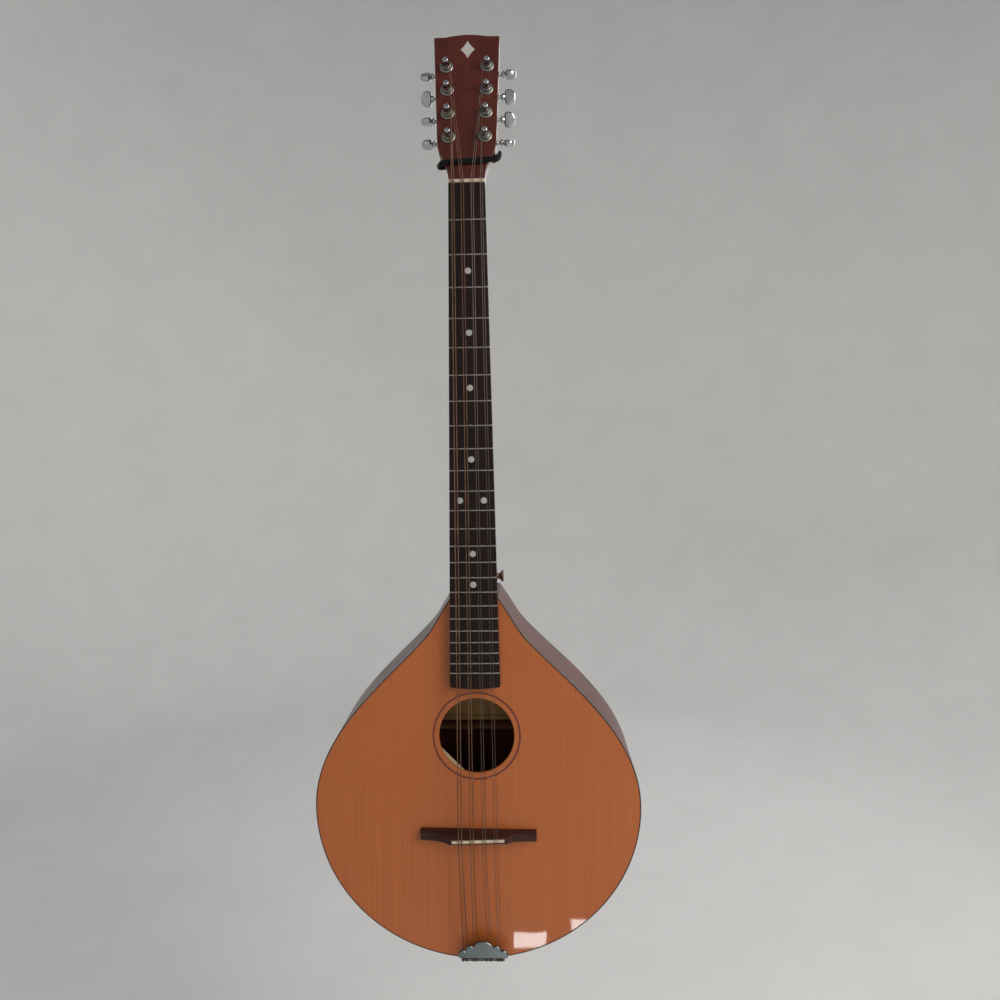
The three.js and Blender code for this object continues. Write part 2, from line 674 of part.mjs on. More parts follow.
function bridgeElevation() {
  const { halfLength, height, wing } = BRIDGE;
  const shape = new THREE.Shape();
  shape.moveTo(-halfLength, -GLUE_GAP);
  shape.lineTo(-halfLength, -wing);
  shape.quadraticCurveTo(-36, -wing - 0.5, -31, -height + 1.5);
  shape.quadraticCurveTo(-30, -height, -28, -height);
  shape.lineTo(28, -height);
  shape.quadraticCurveTo(30, -height, 31, -height + 1.5);
  shape.quadraticCurveTo(36, -wing - 0.5, halfLength, -wing);
  shape.lineTo(halfLength, -GLUE_GAP);
  return shape;
}

function bridge() {
  const options = { depth: BRIDGE.foot, bevelEnabled: false, curveSegments: 6 };
  const block = new THREE.ExtrudeGeometry(bridgeElevation(), options)
    .translate(0, 0, BRIDGE.lower);
  const slopeStart = BRIDGE.lower + BRIDGE.foot;
  const slope = bar([
    [1, slopeStart + 0.1], [1, slopeStart + 8], [-BRIDGE.height - 1, slopeStart + 8],
    [-BRIDGE.height - 1, slopeStart - (BRIDGE.foot - BRIDGE.crown)],
  ].reverse(), -BRIDGE.halfLength - 1, BRIDGE.halfLength + 1);
  const skewed = carve(block, { cut: [slope] });
  const { position } = skewed.attributes;
  const crestEnd = 31;
  for (let i = 0; i < position.count; i += 1) {
    const x = position.getX(i);
    const distance = Math.max(Math.abs(x), crestEnd);
    const share = THREE.MathUtils.mapLinear(distance, crestEnd, BRIDGE.halfLength, 1, 0);
    const rise = Math.max(0, -position.getY(i) / BRIDGE.height);
    position.setZ(i, position.getZ(i) + x * CREST_SKEW * share * rise);
  }
  const slotHalf = SADDLE.thickness / 2 + CUT_GAP;
  const slotEnd = SADDLE.halfLength + CUT_GAP;
  const slot = box(-slotEnd, slotEnd, -BRIDGE.height - 1, -SADDLE.seat + CUT_GAP, -slotHalf, slotHalf)
    .rotateY(SADDLE_SLANT)
    .translate(0, 0, SADDLE.z);
  return piece('bridge', carve(skewed, { cut: [slot] }), 'rosewood');
}

function saddle() {
  const half = SADDLE.thickness / 2;
  const outline = [
    [-SADDLE.seat, -half], [-SADDLE.seat, half], [-SADDLE.top + 0.7, half],
    [-SADDLE.top, 0.5], [-SADDLE.top, -0.5], [-SADDLE.top + 0.7, -half],
  ];
  const geometry = bar(outline.reverse(), -SADDLE.halfLength, SADDLE.halfLength)
    .rotateY(SADDLE_SLANT)
    .translate(0, 0, SADDLE.z);
  return piece('saddle', geometry, 'bone');
}

function bridgeAndSaddle() {
  const group = new THREE.Group();
  group.position.set(BRIDGE.x, 0, BRIDGE.z);
  group.rotation.y = BRIDGE_SLANT;
  group.add(bridge(), saddle());
  return group;
}

// The cover is a row of lobes, tallest in the middle.
function tailpieceShape() {
  const shape = new THREE.Shape();
  const base = TAILPIECE.bottom;
  const end = base + LOBE_JUNCTIONS.at(-1)[1];
  shape.moveTo(-TAILPIECE_HALF_WIDTH, base);
  shape.lineTo(TAILPIECE_HALF_WIDTH, base);
  shape.lineTo(TAILPIECE_HALF_WIDTH, end);
  let from = TAILPIECE_HALF_WIDTH;
  LOBE_JUNCTIONS.forEach(([x, height], i) => {
    const reach = (from - x) * LOBE_HANDLE_REACH;
    const handle = base + LOBE_HANDLES[i];
    shape.bezierCurveTo(from - reach, handle, x + reach, handle, x, base + height);
    from = x;
  });
  return shape;
}

function tailpiece() {
  const { face, thickness, bottom, strapHalfWidth, strapEnd } = TAILPIECE;
  const under = face + thickness;
  const endFace = TAIL_Z - CUT_GAP;
  const strap = bar([
    [face, bottom + 3], [under, bottom + 3], [under, bottom - 0.4], [0, endFace],
    [strapEnd, endFace], [strapEnd, endFace - thickness], [-1, endFace - thickness], [face, bottom - 1.4],
  ].reverse(), -strapHalfWidth, strapHalfWidth);
  const geometry = carve(slab(tailpieceShape(), face, under, 5), { add: [strap] });
  geometry.translate(TAILPIECE_X, 0, 0);
  return piece('tailpiece', carve(geometry, { cut: [endPinHole()] }), 'satin');
}

function endPin() {
  const plate = TAIL_Z - CUT_GAP - TAILPIECE.thickness - CUT_GAP;
  const inside = -plate - 24;
  const geometry = turned([
    [0, inside], [END_PIN_RADIUS - 0.6, inside], [END_PIN_RADIUS, inside + 2], [END_PIN_RADIUS, -plate],
    [7, -plate], [7, -plate + 1.5], [4.2, -plate + 2.6], [4, -plate + 6], [7, -plate + 9],
    [6, -plate + 11], [0, -plate + 11.6],
  ], 18).rotateX(-Math.PI / 2).translate(0, END_PIN_Y, 0);
  return piece('end_pin', geometry, 'chrome');
}

function strapButton() {
  const seat = neckHalfWidthAt(BUTTON.z, BUTTON.y / HEEL_DEPTH) + CUT_GAP;
  const geometry = turned([
    [0, 0.4], [4.4, 0.4], [4.4, 1.4], [3, 2.4], [2.9, 4.0], [5.9, 6.2], [6.3, 7.4], [5.4, 8.1], [0, 8.5],
  ], 18).rotateZ(-Math.PI / 2).translate(seat, BUTTON.y, BUTTON.z);
  return piece('strap_button', geometry, 'chrome');
}

// ---------- strings and cord ----------

// The four bass strings go to the bass posts and the rest to the treble posts; the inner strings go highest.
function postOf(i) {
  const side = i < TUNERS_PER_SIDE ? i : TUNERS_PER_SIDE + STRING_NAMES.length - 1 - i;
  return postPlaces()[side];
}

function stringRoute(i) {
  const radius = STRING_RADII[i];
  const clear = radius + 0.12;
  const slant = (x) => BRIDGE.z + SADDLE.z - (x - BRIDGE.x) * Math.sin(BRIDGE_SLANT + SADDLE_SLANT);
  const onBass = i < TUNERS_PER_SIDE;
  const post = postOf(i);
  const tangentX = post.x - post.sign * (POST_RADIUS + radius + 0.15);
  const atPost = new THREE.Vector3(tangentX, POST_STRING_Y[post.number - 1], post.z);
  atPost.applyMatrix4(headFrame());
  return [
    new THREE.Vector3(TAIL_X[i], -7.6, TAILPIECE.bottom + 1.5),
    new THREE.Vector3(TAIL_X[i], -8.2, TAILPIECE.top + 1),
    new THREE.Vector3(SADDLE_X[i], -SADDLE.top - clear, slant(SADDLE_X[i])),
    new THREE.Vector3(NUT_X[i], -NUT_HEIGHT - clear, 0.6),
    new THREE.Vector3(NUT_X[i] + (onBass ? -0.1 : 0.1), -NUT_HEIGHT - clear + 0.45, 3.2),
    atPost,
  ];
}

function strings() {
  const finish = (i) => (i < TUNERS_PER_SIDE ? 'bronze' : 'steel');
  return STRING_NAMES.map((name, i) => (
    piece(`string_${name}`, wire(stringRoute(i), STRING_RADII[i]), finish(i))));
}

// A cord tied round the throat of the head, under the strings, in the head's own frame.
function hangingLoop() {
  const back = HEAD_THICKNESS + CORD.thickness / 2 + 3 * CUT_GAP;
  const front = -CORD.thickness / 2 - CUT_GAP;
  const turns = [
    [-22, front, 17.6], [0, front, 18.9], [24, front, 19.9], [28.6, front + 0.6, 21], [31.6, 1.6, 25],
    [32.8, 4.6, 29.4], [33.2, 10, 33], [32.6, back - 3, 33.6], [30.6, back - 0.2, 33], [26.6, back, 31.6],
    [20, back, 29.6], [0, back, 28], [-20, back, 26], [-27.2, back - 0.4, 25], [-29.6, back - 3.4, 23.8],
    [-28.2, 9, 21], [-26, 1.4, 18.2],
  ].map(([x, y, z]) => new THREE.Vector3(x, y, z));
  const path = new THREE.CatmullRomCurve3(turns, true, 'centripetal');
  const throatLow = new THREE.Vector3(-20.5, 1, -Infinity);
  const throatHigh = new THREE.Vector3(26, HEAD_THICKNESS - 1, Infinity);
  const steps = 36;
  const sides = 8;
  const rings = [];
  for (let i = 0; i < steps; i += 1) {
    const point = path.getPoint(i / steps);
    const tangent = path.getTangent(i / steps);
    const onThroat = point.clone().clamp(throatLow, throatHigh);
    const outwards = point.clone().sub(onThroat).projectOnPlane(tangent).normalize();
    const across = new THREE.Vector3().crossVectors(tangent, outwards);
    const ring = [];
    for (let k = 0; k < sides; k += 1) {
      const angle = (2 * Math.PI * k) / sides;
      ring.push(point.clone()
        .addScaledVector(outwards, (Math.cos(angle) * CORD.thickness) / 2)
        .addScaledVector(across, (Math.sin(angle) * CORD.width) / 2));
    }
    rings.push(ring);
  }
  return piece('hanging_loop', loft(rings, true), 'cord');
}

// ---------- assembly ----------

const head = new THREE.Group();
head.position.copy(HEAD_ORIGIN);
head.rotation.x = -HEAD_ANGLE;
head.add(headVeneer(), hangingLoop(), ...postPlaces().map(tuner));

const bouzouki = new THREE.Group();
bouzouki.add(
  soundboard(), back(), side('bass_side', -1), side('treble_side', 1), neckBlock(), tailBlock(),
  topBracing(), backBracing(), label(), neck(), trussRod(), fingerboard(), nut(), bridgeAndSaddle(),
  tailpiece(), endPin(), strapButton(), ...strings(), head);

export default bouzouki;
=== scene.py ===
"""A flat-backed bouzouki with four double courses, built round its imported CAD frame.

Lengths are in millimetres until a mesh is made. +Z runs up the neck, +Y goes from the
soundboard to the back, +X is the treble side, and the origin is at the nut.
"""

import math

import bmesh
import bpy
from mathutils import Matrix, Vector


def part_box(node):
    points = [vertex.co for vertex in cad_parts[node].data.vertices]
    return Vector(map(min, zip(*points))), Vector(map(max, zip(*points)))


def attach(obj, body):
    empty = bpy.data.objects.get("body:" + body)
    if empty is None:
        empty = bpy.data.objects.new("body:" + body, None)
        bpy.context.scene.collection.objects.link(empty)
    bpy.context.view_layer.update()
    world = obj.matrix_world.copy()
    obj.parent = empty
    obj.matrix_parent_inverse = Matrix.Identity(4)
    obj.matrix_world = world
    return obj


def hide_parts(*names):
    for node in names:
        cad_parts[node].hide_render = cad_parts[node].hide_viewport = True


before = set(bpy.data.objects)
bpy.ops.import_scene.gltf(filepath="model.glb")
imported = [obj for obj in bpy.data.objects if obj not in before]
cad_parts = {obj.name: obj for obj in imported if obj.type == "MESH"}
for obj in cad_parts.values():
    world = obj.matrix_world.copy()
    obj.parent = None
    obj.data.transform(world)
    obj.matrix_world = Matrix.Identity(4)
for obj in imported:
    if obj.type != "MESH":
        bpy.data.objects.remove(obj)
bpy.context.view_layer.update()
INSTRUMENT = "instrument"
MM = 0.001

# ---------- sizes ----------

# body
BODY_DEPTH = 88
NECK_END_DEPTH = 67
PLATE = 3
SIDE_THICKNESS = 2.5
GLUE_GAP = 0.15
TOUCH_GAP = 0.3
HALF_WIDTH = 164.6
JOINT_Z = -414.2
JOINT_HALF_WIDTH = 24.2
WIDEST_Z = -625
TAIL_Z = -780
HOLE = Vector((0.35, -553.8))
HOLE_RADIUS = 38
ROSETTE_RADIUS = 43.7
ROSETTE_WIDTH = 1.9
BACK_BARS = ((-487, 74), (-573.2, 146), (-700, 134))
BACK_BAR_WIDTH = 5
BACK_BAR_DEPTH = 16
BACK_STRIP_HALF_WIDTH = 5.7
BACK_STRIP_END_Z = -753
BINDING_WIDTH = 1.3
LINING_HEIGHT = 10
LINING_THICKNESS = 4.2
LINING_TIP = 1.6
LINING_TOP_Z = -440
LINING_CLEAR_X = 34
KERF = 0.08
TENON_SLOT = 8.8

# neck, fingerboard and nut
SCALE = 650
FRETS = 24
FRET_HALF_WIDTH = 0.9
FRET_CROWN = 0.95
DOT_RADIUS = 3.15
BOARD_THICKNESS = 7.5
BOARD_LENGTH = 502
BOARD_END_CROWN = 2
BOARD_NUT_HALF_WIDTH = 18.2
BOARD_END_HALF_WIDTH = 25.3
NUT_HEIGHT = 9.4
NUT_LENGTH = 4
NECK_DEPTH_AT_NUT = 14.5
NECK_DEPTH_AT_HEEL = 17.5
HEEL_START_Z = -341
HEEL_FULL_Z = -399
HEEL_TAPER = 0.2
HEEL_SQUARENESS = 14
HEEL_DEPTH = NECK_END_DEPTH - 0.4

# head
HEAD_ANGLE = math.radians(13.4)
HEAD_ORIGIN = Vector((0, -5, 4.3))
HEAD_THICKNESS = 15.5
VENEER = 2
HEAD_LENGTH = 164.3
HEAD_CREST = 2.8

# tuners, in the head's own frame
POSTS_PER_SIDE = 4
FIRST_POST_Z = 47.7
POST_SPACING = 27
LOWEST_POST_X = 18.5
HIGHEST_POST_X = 21.1
POST_RADIUS = 2.9
HEAD_BORE_RADIUS = 4.9
WORM_OFFSET = 5.5
WORM_Y = 21.3
KNOB_REST_TURNS = {"bass": (10, 23, 117, 51), "treble": (37, 127, 105, 19)}

# bridge, saddle and tailpiece
BRIDGE_PLACE = Vector((0.8, 0, -652))
BRIDGE_SLANT = math.radians(0.9)
CREST_SKEW = math.tan(math.radians(2.1))
BRIDGE_HALF_LENGTH = 58.4
BRIDGE_HEIGHT = 12.5
BRIDGE_WING = 6
BRIDGE_FOOT = 10
BRIDGE_CROWN = 6.2
BRIDGE_LOWER_Z = -5.2
CREST_END_X = 31
SADDLE_HALF_LENGTH = 26.2
SADDLE_THICKNESS = 2.8
SADDLE_TOP = 14.2
SADDLE_Z = -2
SADDLE_SLANT = math.radians(-2.5)
TAILPIECE_X = 3.9
TAILPIECE_HALF_WIDTH = 24.8
TAILPIECE_TOP = -755.5
TAILPIECE_BOTTOM = -772.4
TAILPIECE_FACE = -11.2
TAILPIECE_THICKNESS = 2.2
LOBE_JUNCTIONS = ((18.1, 7.2), (10.1, 11), (-10.1, 11), (-18.1, 7.2), (-TAILPIECE_HALF_WIDTH, 3))
LOBE_HANDLES = (8.6, 13.4, 18.8, 13.4, 8.6)
LOBE_HANDLE_REACH = 0.2
STRAP_HALF_WIDTH = 21
STRAP_END_Y = 46
END_PIN_Y = 34

# strings, from the bass side to the treble side
STRINGS = ("bass_1", "bass_2", "second_1", "second_2", "third_1", "third_2", "treble_1", "treble_2")
STRING_RADII = (0.5, 0.5, 0.4, 0.4, 0.3, 0.3, 0.25, 0.25)
NUT_X = (-14.7, -12.4, -5.4, -3.0, 4.5, 6.6, 13.6, 15.6)
SADDLE_X = (-18.5, -15.3, -6.6, -3.7, 5.7, 8.3, 17.2, 19.9)
TAIL_X = (-16.5, -12.7, -5.9, -2.5, 7.1, 11.3, 18.4, 21.6)
POST_STRING_Y = (-7.3, -6.9, -6.5, -6.1)
STRING_CLEARANCE = 0.12
WINDING_TURNS = 2.75
WINDING_PITCH = 1.845

# cord round the throat of the head
CORD_WIDTH = 6.4
CORD_THICKNESS = 3.4
KNOT_TAIL_RADIUS = 1.5
KNOT_STEPS = 96
THROAT_X = (-20.5, 26)

# ---------- camera ----------

CAMERA_PLACE = Vector((50.8, -738.5, -231.7))
CAMERA_YAW = -0.0327
CAMERA_PITCH = -0.0114
CAMERA_ROLL = -0.0164


def make_camera():
    data = bpy.data.cameras.new("camera")
    data.sensor_width = 36
    data.lens = 26.53
    data.shift_x = 0.0024
    data.shift_y = -0.0755
    data.clip_start = 0.01
    data.clip_end = 50
    camera = bpy.data.objects.new("camera", data)
    bpy.context.scene.collection.objects.link(camera)
    ahead = Vector((
        math.sin(CAMERA_YAW) * math.cos(CAMERA_PITCH),
        math.cos(CAMERA_YAW) * math.cos(CAMERA_PITCH),
        math.sin(CAMERA_PITCH)))
    level = Vector((math.cos(CAMERA_YAW), -math.sin(CAMERA_YAW), 0))
    upright = level.cross(ahead)
    right = level * math.cos(CAMERA_ROLL) + upright * math.sin(CAMERA_ROLL)
    up = upright * math.cos(CAMERA_ROLL) - level * math.sin(CAMERA_ROLL)
    axes = Matrix((right, up, -ahead)).transposed().to_4x4()
    camera.matrix_world = Matrix.Translation(CAMERA_PLACE * MM) @ axes
    bpy.context.scene.camera = camera


make_camera()

# ---------- curves and outlines ----------


def bezier(p0, p1, p2, p3, steps):
    """Points on a cubic, without its first one."""
    found = []
    for i in range(1, steps + 1):
        t = i / steps
        u = 1 - t
        weights = (u ** 3, 3 * u * u * t, 3 * u * t * t, t ** 3)
        found.append(sum((Vector(p) * w for p, w in zip((p0, p1, p2, p3), weights)), Vector((0, 0))))
    return found


def quadratic(p0, p1, p2, steps):
    """Points on a quadratic, without its first one."""
    p0, p1, p2 = Vector(p0), Vector(p1), Vector(p2)
    return bezier(p0, p0.lerp(p1, 2 / 3), p2.lerp(p1, 2 / 3), p2, steps)


def lerp(a, b, t):
    return a + (b - a) * t


def clamp(value, low, high):
    return max(low, min(high, value))


def area(points):
    return sum(a.x * b.y - b.x * a.y for a, b in zip(points, points[1:] + points[:1])) / 2


def inset(points, distance):
    """A closed 2D outline, moved inwards by a distance."""
    sign = 1 if area(points) > 0 else -1
    moved = []
    for i, point in enumerate(points):
        before = (point - points[i - 1]).normalized()
        after = (points[(i + 1) % len(points)] - point).normalized()
        n0 = Vector((-before.y, before.x)) * sign
        n1 = Vector((-after.y, after.x)) * sign
        moved.append(point + (n0 + n1) * (distance / max(1 + n0.dot(n1), 0.35)))
    return moved


def rounded(points, radius, steps=4, closed=True):
    """A 2D or 3D outline with each of its corners cut to a small curve."""
    found = []
    for i, point in enumerate(points):
        if not closed and i in (0, len(points) - 1):
            found.append(point.copy())
            continue
        before = points[i - 1] - point
        after = points[(i + 1) % len(points)] - point
        if before.angle(after, 0) > math.radians(165):
            found.append(point.copy())
            continue
        start = point + before.normalized() * min(radius, before.length * 0.45)
        end = point + after.normalized() * min(radius, after.length * 0.45)
        found += [start] + quadratic(start, point, end, steps)
    return found


def mirrored(half):
    """A closed outline from its right half, which starts or ends on the centre line."""
    return half + [Vector((-p.x, p.y)) for p in reversed(half) if abs(p.x) > 1e-6]


def vectors(*points):
    return [Vector(p) for p in points]


def angles(steps):
    """Equal steps round a full turn."""
    return [2 * math.pi * i / steps for i in range(steps)]


def rectangle(half_x, half_z):
    return vectors((-half_x, -half_z), (half_x, -half_z), (half_x, half_z), (-half_x, half_z))


def smooth_path(points, steps):
    """A Catmull-Rom curve through 3D points."""
    last = len(points) - 1
    found = []
    for i in range(last):
        p = [points[clamp(i + k, 0, last)] for k in (-1, 0, 1, 2)]
        for s in range(steps):
            t = s / steps
            found.append(0.5 * (2 * p[1] + (p[2] - p[0]) * t + (2 * p[0] - 5 * p[1] + 4 * p[2] - p[3]) * t * t
                                + (3 * p[1] - p[0] - 3 * p[2] + p[3]) * t ** 3))
    found.append(points[-1].copy())
    return found


# ---------- meshes ----------

HEAD = Matrix.Translation(HEAD_ORIGIN) @ Matrix.Rotation(-HEAD_ANGLE, 4, "X")
WORLD = Matrix.Identity(4)
CREASE = 38
MERGE = 1e-7


class Shape:
    """Closed shells that become one mesh."""

    def __init__(self):
        self.points = []
        self.faces = []

    def loft(self, rings, place=WORLD, looped=False):
        """A skin through rings of 3D points; the ends are flat unless it is looped."""
        start = len(self.points)
        count = len(rings[0])
        self.points += [place @ Vector(p) for ring in rings for p in ring]
        for i in range(len(rings) if looped else len(rings) - 1):
            a = start + i * count
            b = start + ((i + 1) % len(rings)) * count
            for k in range(count):
                n = (k + 1) % count
                self.faces.append((a + k, a + n, b + n, b + k))
        if not looped:
            self.faces.append(tuple(range(start + count - 1, start - 1, -1)))
            self.faces.append(tuple(range(start + (len(rings) - 1) * count, start + len(rings) * count)))
        return self

    def plate(self, outline, y0, y1, edge=0.4, steps=3, place=WORLD):
        """A plate from a 2D outline in X and Z, between two Y values, with rounded edges."""
        rings = []
        levels = []
        for i in range(steps + 1):
            a = math.pi / 2 * i / steps
            levels.append((edge * (1 - math.sin(a)), edge * (1 - math.cos(a))))
        profile = [(edge * 1.6, 0)] + levels
        for distance, depth in profile:
            rings.append((inset(outline, distance), y0 + depth))
        for distance, depth in reversed(profile):
            rings.append((inset(outline, distance), y1 - depth))
        return self.loft([[Vector((p.x, y, p.y)) for p in ring] for ring, y in rings], place)

    def band(self, outer, inner, y0, y1, edge=0.3, place=WORLD):
        """A closed band between two outlines of as many points each, with rounded edges."""
        def level(t, y):
            return [Vector((lerp(o.x, i.x, t), y, lerp(o.y, i.y, t))) for o, i in zip(outer, inner)]
        gap = max((outer[0] - inner[0]).length, 1e-6)
        e = min(edge / gap, 0.45)
        corner = ((0, 1), (0.3, 0.3), (1, 0))
        front = [(e * t, y0 + edge * y) for t, y in corner]
        front += [(1 - e * t, y0 + edge * y) for t, y in corner[::-1]]
        rear = [(t, y0 + y1 - y) for t, y in front[::-1]]
        return self.loft([level(t, y) for t, y in rear[-1:] + front + rear[:-1]], place, looped=True)

    def lathe(self, profile, sides, place=WORLD, corner=0.25, steps=3):
        """A turned form from (radius, distance) points; its axis is +Y."""
        line = [Vector(p) for p in profile]
        hollow = profile[0] == profile[-1]
        line = rounded(line[:-1] if hollow else line, corner, steps, closed=hollow)
        rings = []
        for radius, along in line:
            radius = max(radius, 0.01)
            rings.append([Vector((radius * math.cos(a), along, radius * math.sin(a))) for a in angles(sides)])
        return self.loft(rings, place, looped=hollow)

    def tube(self, points, radius, sides=12, place=WORLD, across=1.0, outward=None):
        """A round or oval tube along a path; outward(point) says where its thin way faces."""
        rings = []
        normal = None
        for i, point in enumerate(points):
            ahead = (points[min(i + 1, len(points) - 1)] - points[max(i - 1, 0)]).normalized()
            if outward:
                normal = outward(point)
            elif normal is None:
                normal = ahead.orthogonal()
            normal = (normal - ahead * normal.dot(ahead)).normalized()
            side = ahead.cross(normal)
            rings.append([point + (normal * math.cos(a) + side * math.sin(a) * across) * radius
                          for a in angles(sides)])
        return self.loft(rings, place)

    def make(self, name, material, slot=None, body=INSTRUMENT, replaces=(), sharp=CREASE):
        mesh = bpy.data.meshes.new(name)
        mesh.from_pydata([p * MM for p in self.points], [], self.faces)
        work = bmesh.new()
        work.from_mesh(mesh)
        bmesh.ops.remove_doubles(work, verts=work.verts, dist=MERGE)
        bmesh.ops.recalc_face_normals(work, faces=work.faces)
        work.to_mesh(mesh)
        work.free()
        piece = bpy.data.objects.new(name, mesh)
        smooth_over(piece, sharp)
        bpy.context.scene.collection.objects.link(piece)
        mesh.materials.append(material)
        if body:
            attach(piece, body)
        if replaces:
            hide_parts(*replaces)
        return piece


def apply_modifiers(piece):
    evaluated = piece.evaluated_get(bpy.context.evaluated_depsgraph_get())
    mesh = bpy.data.meshes.new_from_object(evaluated)
    old = piece.data
    piece.modifiers.clear()
    piece.data = mesh
    bpy.data.meshes.remove(old)


def combine(piece, shape, operation="DIFFERENCE"):
    """Cuts another closed shape out of a piece, or joins it on."""
    other = shape.make("extra", piece.data.materials[0], body=None)
    modifier = piece.modifiers.new("combine", "BOOLEAN")
    modifier.operation = operation
    modifier.solver = "EXACT"
    modifier.use_self = True
    modifier.object = other
    apply_modifiers(piece)
    bpy.data.objects.remove(other)


def smooth_over(piece, sharp=CREASE):
    """Smooth shading that breaks at edges sharper than an angle in degrees."""
    mesh = piece.data
    mesh.polygons.foreach_set("use_smooth", [True] * len(mesh.polygons))
    mesh.set_sharp_from_angle(angle=math.radians(sharp))


# ---------- materials ----------


def colour(r, g, b):
    """A display colour, 0 to 255 each, as the linear one that a shader takes."""
    def linear(v):
        v /= 255
        return v / 12.92 if v <= 0.04045 else ((v + 0.055) / 1.055) ** 2.4
    return (linear(r), linear(g), linear(b), 1)


class Finish:
    """One procedural material: a Principled shader and the nodes that drive it."""

    def __init__(self, name, **settings):
        self.material = bpy.data.materials.new(name)
        self.material.use_nodes = True
        self.tree = self.material.node_tree
        self.shader = self.tree.nodes["Principled BSDF"]
        for key, value in settings.items():
            self.shader.inputs[key.replace("_", " ")].default_value = value
        self.coordinates = self.tree.nodes.new("ShaderNodeTexCoord").outputs["Object"]

    def add(self, kind, inputs=None, **properties):
        node = self.tree.nodes.new(kind)
        for key, value in properties.items():
            setattr(node, key, value)
        for key, value in (inputs or {}).items():
            self.put(node.inputs[key], value)
        return node

    def put(self, socket, value):
        if isinstance(value, bpy.types.NodeSocket):
            self.tree.links.new(value, socket)
        else:
            socket.default_value = value

    def stretched(self, scale, turn=(0, 0, 0)):
        node = self.add("ShaderNodeMapping", {"Vector": self.coordinates, "Scale": scale, "Rotation": turn})
        return node.outputs["Vector"]

    def noise(self, vector, scale, detail=2.0, roughness=0.5, distortion=0.0):
        settings = {"Scale": scale, "Detail": detail, "Roughness": roughness, "Distortion": distortion}
        return self.add("ShaderNodeTexNoise", {"Vector": vector, **settings}).outputs["Fac"]

    def ramp(self, value, *stops):
        node = self.add("ShaderNodeValToRGB", {"Fac": value})
        band = node.color_ramp
        while len(band.elements) < len(stops):
            band.elements.new(0.5)
        for element, (place, shade) in zip(band.elements, stops):
            element.position = place
            element.color = shade if isinstance(shade, tuple) else (shade, shade, shade, 1)
        return node.outputs["Color"]

    def mix(self, factor, a, b):
        node = self.add("ShaderNodeMix", data_type="RGBA")
        self.put(node.inputs[0], factor)
        self.put(node.inputs[6], a)
        self.put(node.inputs[7], b)
        return node.outputs[2]

    def between(self, value, low, high):
        node = self.add("ShaderNodeMapRange", {"Value": value, "To Min": low, "To Max": high})
        return node.outputs["Result"]

    def maths(self, operation, *values):
        node = self.add("ShaderNodeMath", operation=operation)
        for socket, value in zip(node.inputs, values):
            self.put(socket, value)
        return node.outputs["Value"]

    def bump(self, height, strength, distance, under=None):
        node = self.add("ShaderNodeBump", {"Height": height, "Strength": strength, "Distance": distance})
        if under is not None:
            self.put(node.inputs["Normal"], under)
        return node.outputs["Normal"]

    def tinted(self, shade, texture, most, tint):
        """A shade, mixed with a tint by up to the share that a texture gives."""
        return self.mix(self.between(texture, 0, most), shade, tint)

    def surface(self, shade, rough, bump, **links):
        """The material, with (texture, low, high) for its roughness and the arguments of its bump."""
        return self.set(Base_Color=shade, Roughness=self.between(*rough), Normal=self.bump(*bump), **links)

    def set(self, **links):
        for key, value in links.items():
            self.put(self.shader.inputs[key.replace("_", " ")], value)
        return self.material


LENGTHWISE = (1, 1, 0.02)
CROSSWISE = (0.02, 1, 1)


def timber(name, dark, light, along=LENGTHWISE, grain=700, pores=0.0, rough=(0.35, 0.5), coat=0.0,
           coat_rough=0.05, bump=0.15, figure=0.35, waviness=0.0):
    """Wood with straight grain, slow changes of shade and, where it has them, open pores."""
    finish = Finish(
        name, Coat_Weight=coat, Coat_Roughness=coat_rough, Coat_IOR=1.5, Specular_IOR_Level=0.2)
    fibre = finish.stretched(along)
    lines = finish.noise(fibre, grain, 3, 0.6, 0.15)
    broad = finish.noise(fibre, grain / 12, 2, 0.5, 0.4)
    cloud = finish.noise(finish.coordinates, 14, 2, 0.5)
    fine_share = finish.maths("MULTIPLY", lines, 1 - figure)
    tone = finish.maths("ADD", fine_share, finish.maths("MULTIPLY", broad, figure))
    shade = finish.ramp(tone, (0.3, dark), (0.7, light))
    shade = finish.mix(finish.between(cloud, 0.0, 0.35), shade, finish.mix(0.5, shade, dark))
    height = lines
    if pores:
        short = finish.stretched(tuple(v if v == 1 else v * 4 for v in along))
        pits = finish.noise(short, grain * 2.4, 1, 0.5)
        open_pores = finish.ramp(pits, (0.30, 1.0), (0.42, 0.0))
        shade = finish.mix(finish.maths("MULTIPLY", open_pores, pores), shade, colour(14, 8, 6))
        height = finish.maths("SUBTRACT", lines, open_pores)
    normal = finish.bump(height, bump, 0.0003)
    links = {"Base_Color": shade, "Roughness": finish.between(lines, *rough), "Normal": normal}
    if waviness:
        slow = finish.noise(finish.coordinates, 16, 1, 0.4)
        fine = finish.bump(finish.noise(fibre, grain / 3, 1), 0.05, 0.0004)
        links["Coat_Normal"] = finish.bump(slow, waviness, 0.004, fine)
    return finish.set(**links)


def metal(name, base, rough, streak=LENGTHWISE, streaks=0.0, wear=0.0):
    """Plated or bare metal with faint polishing marks and cloudy wear."""
    finish = Finish(name, Metallic=1.0, Base_Color=base)
    marks = finish.noise(finish.stretched(streak), 2600, 2, 0.6)
    cloud = finish.noise(finish.coordinates, 160, 3, 0.6)
    dull = finish.mix(finish.between(cloud, 0.0, wear), base, colour(120, 112, 100))
    even = finish.between(cloud, rough * 0.7, rough * 1.4)
    uneven = finish.maths("ADD", even, finish.between(marks, 0, streaks))
    return finish.set(Base_Color=dull, Roughness=uneven, Normal=finish.bump(marks, 0.04 + streaks, 0.0001))


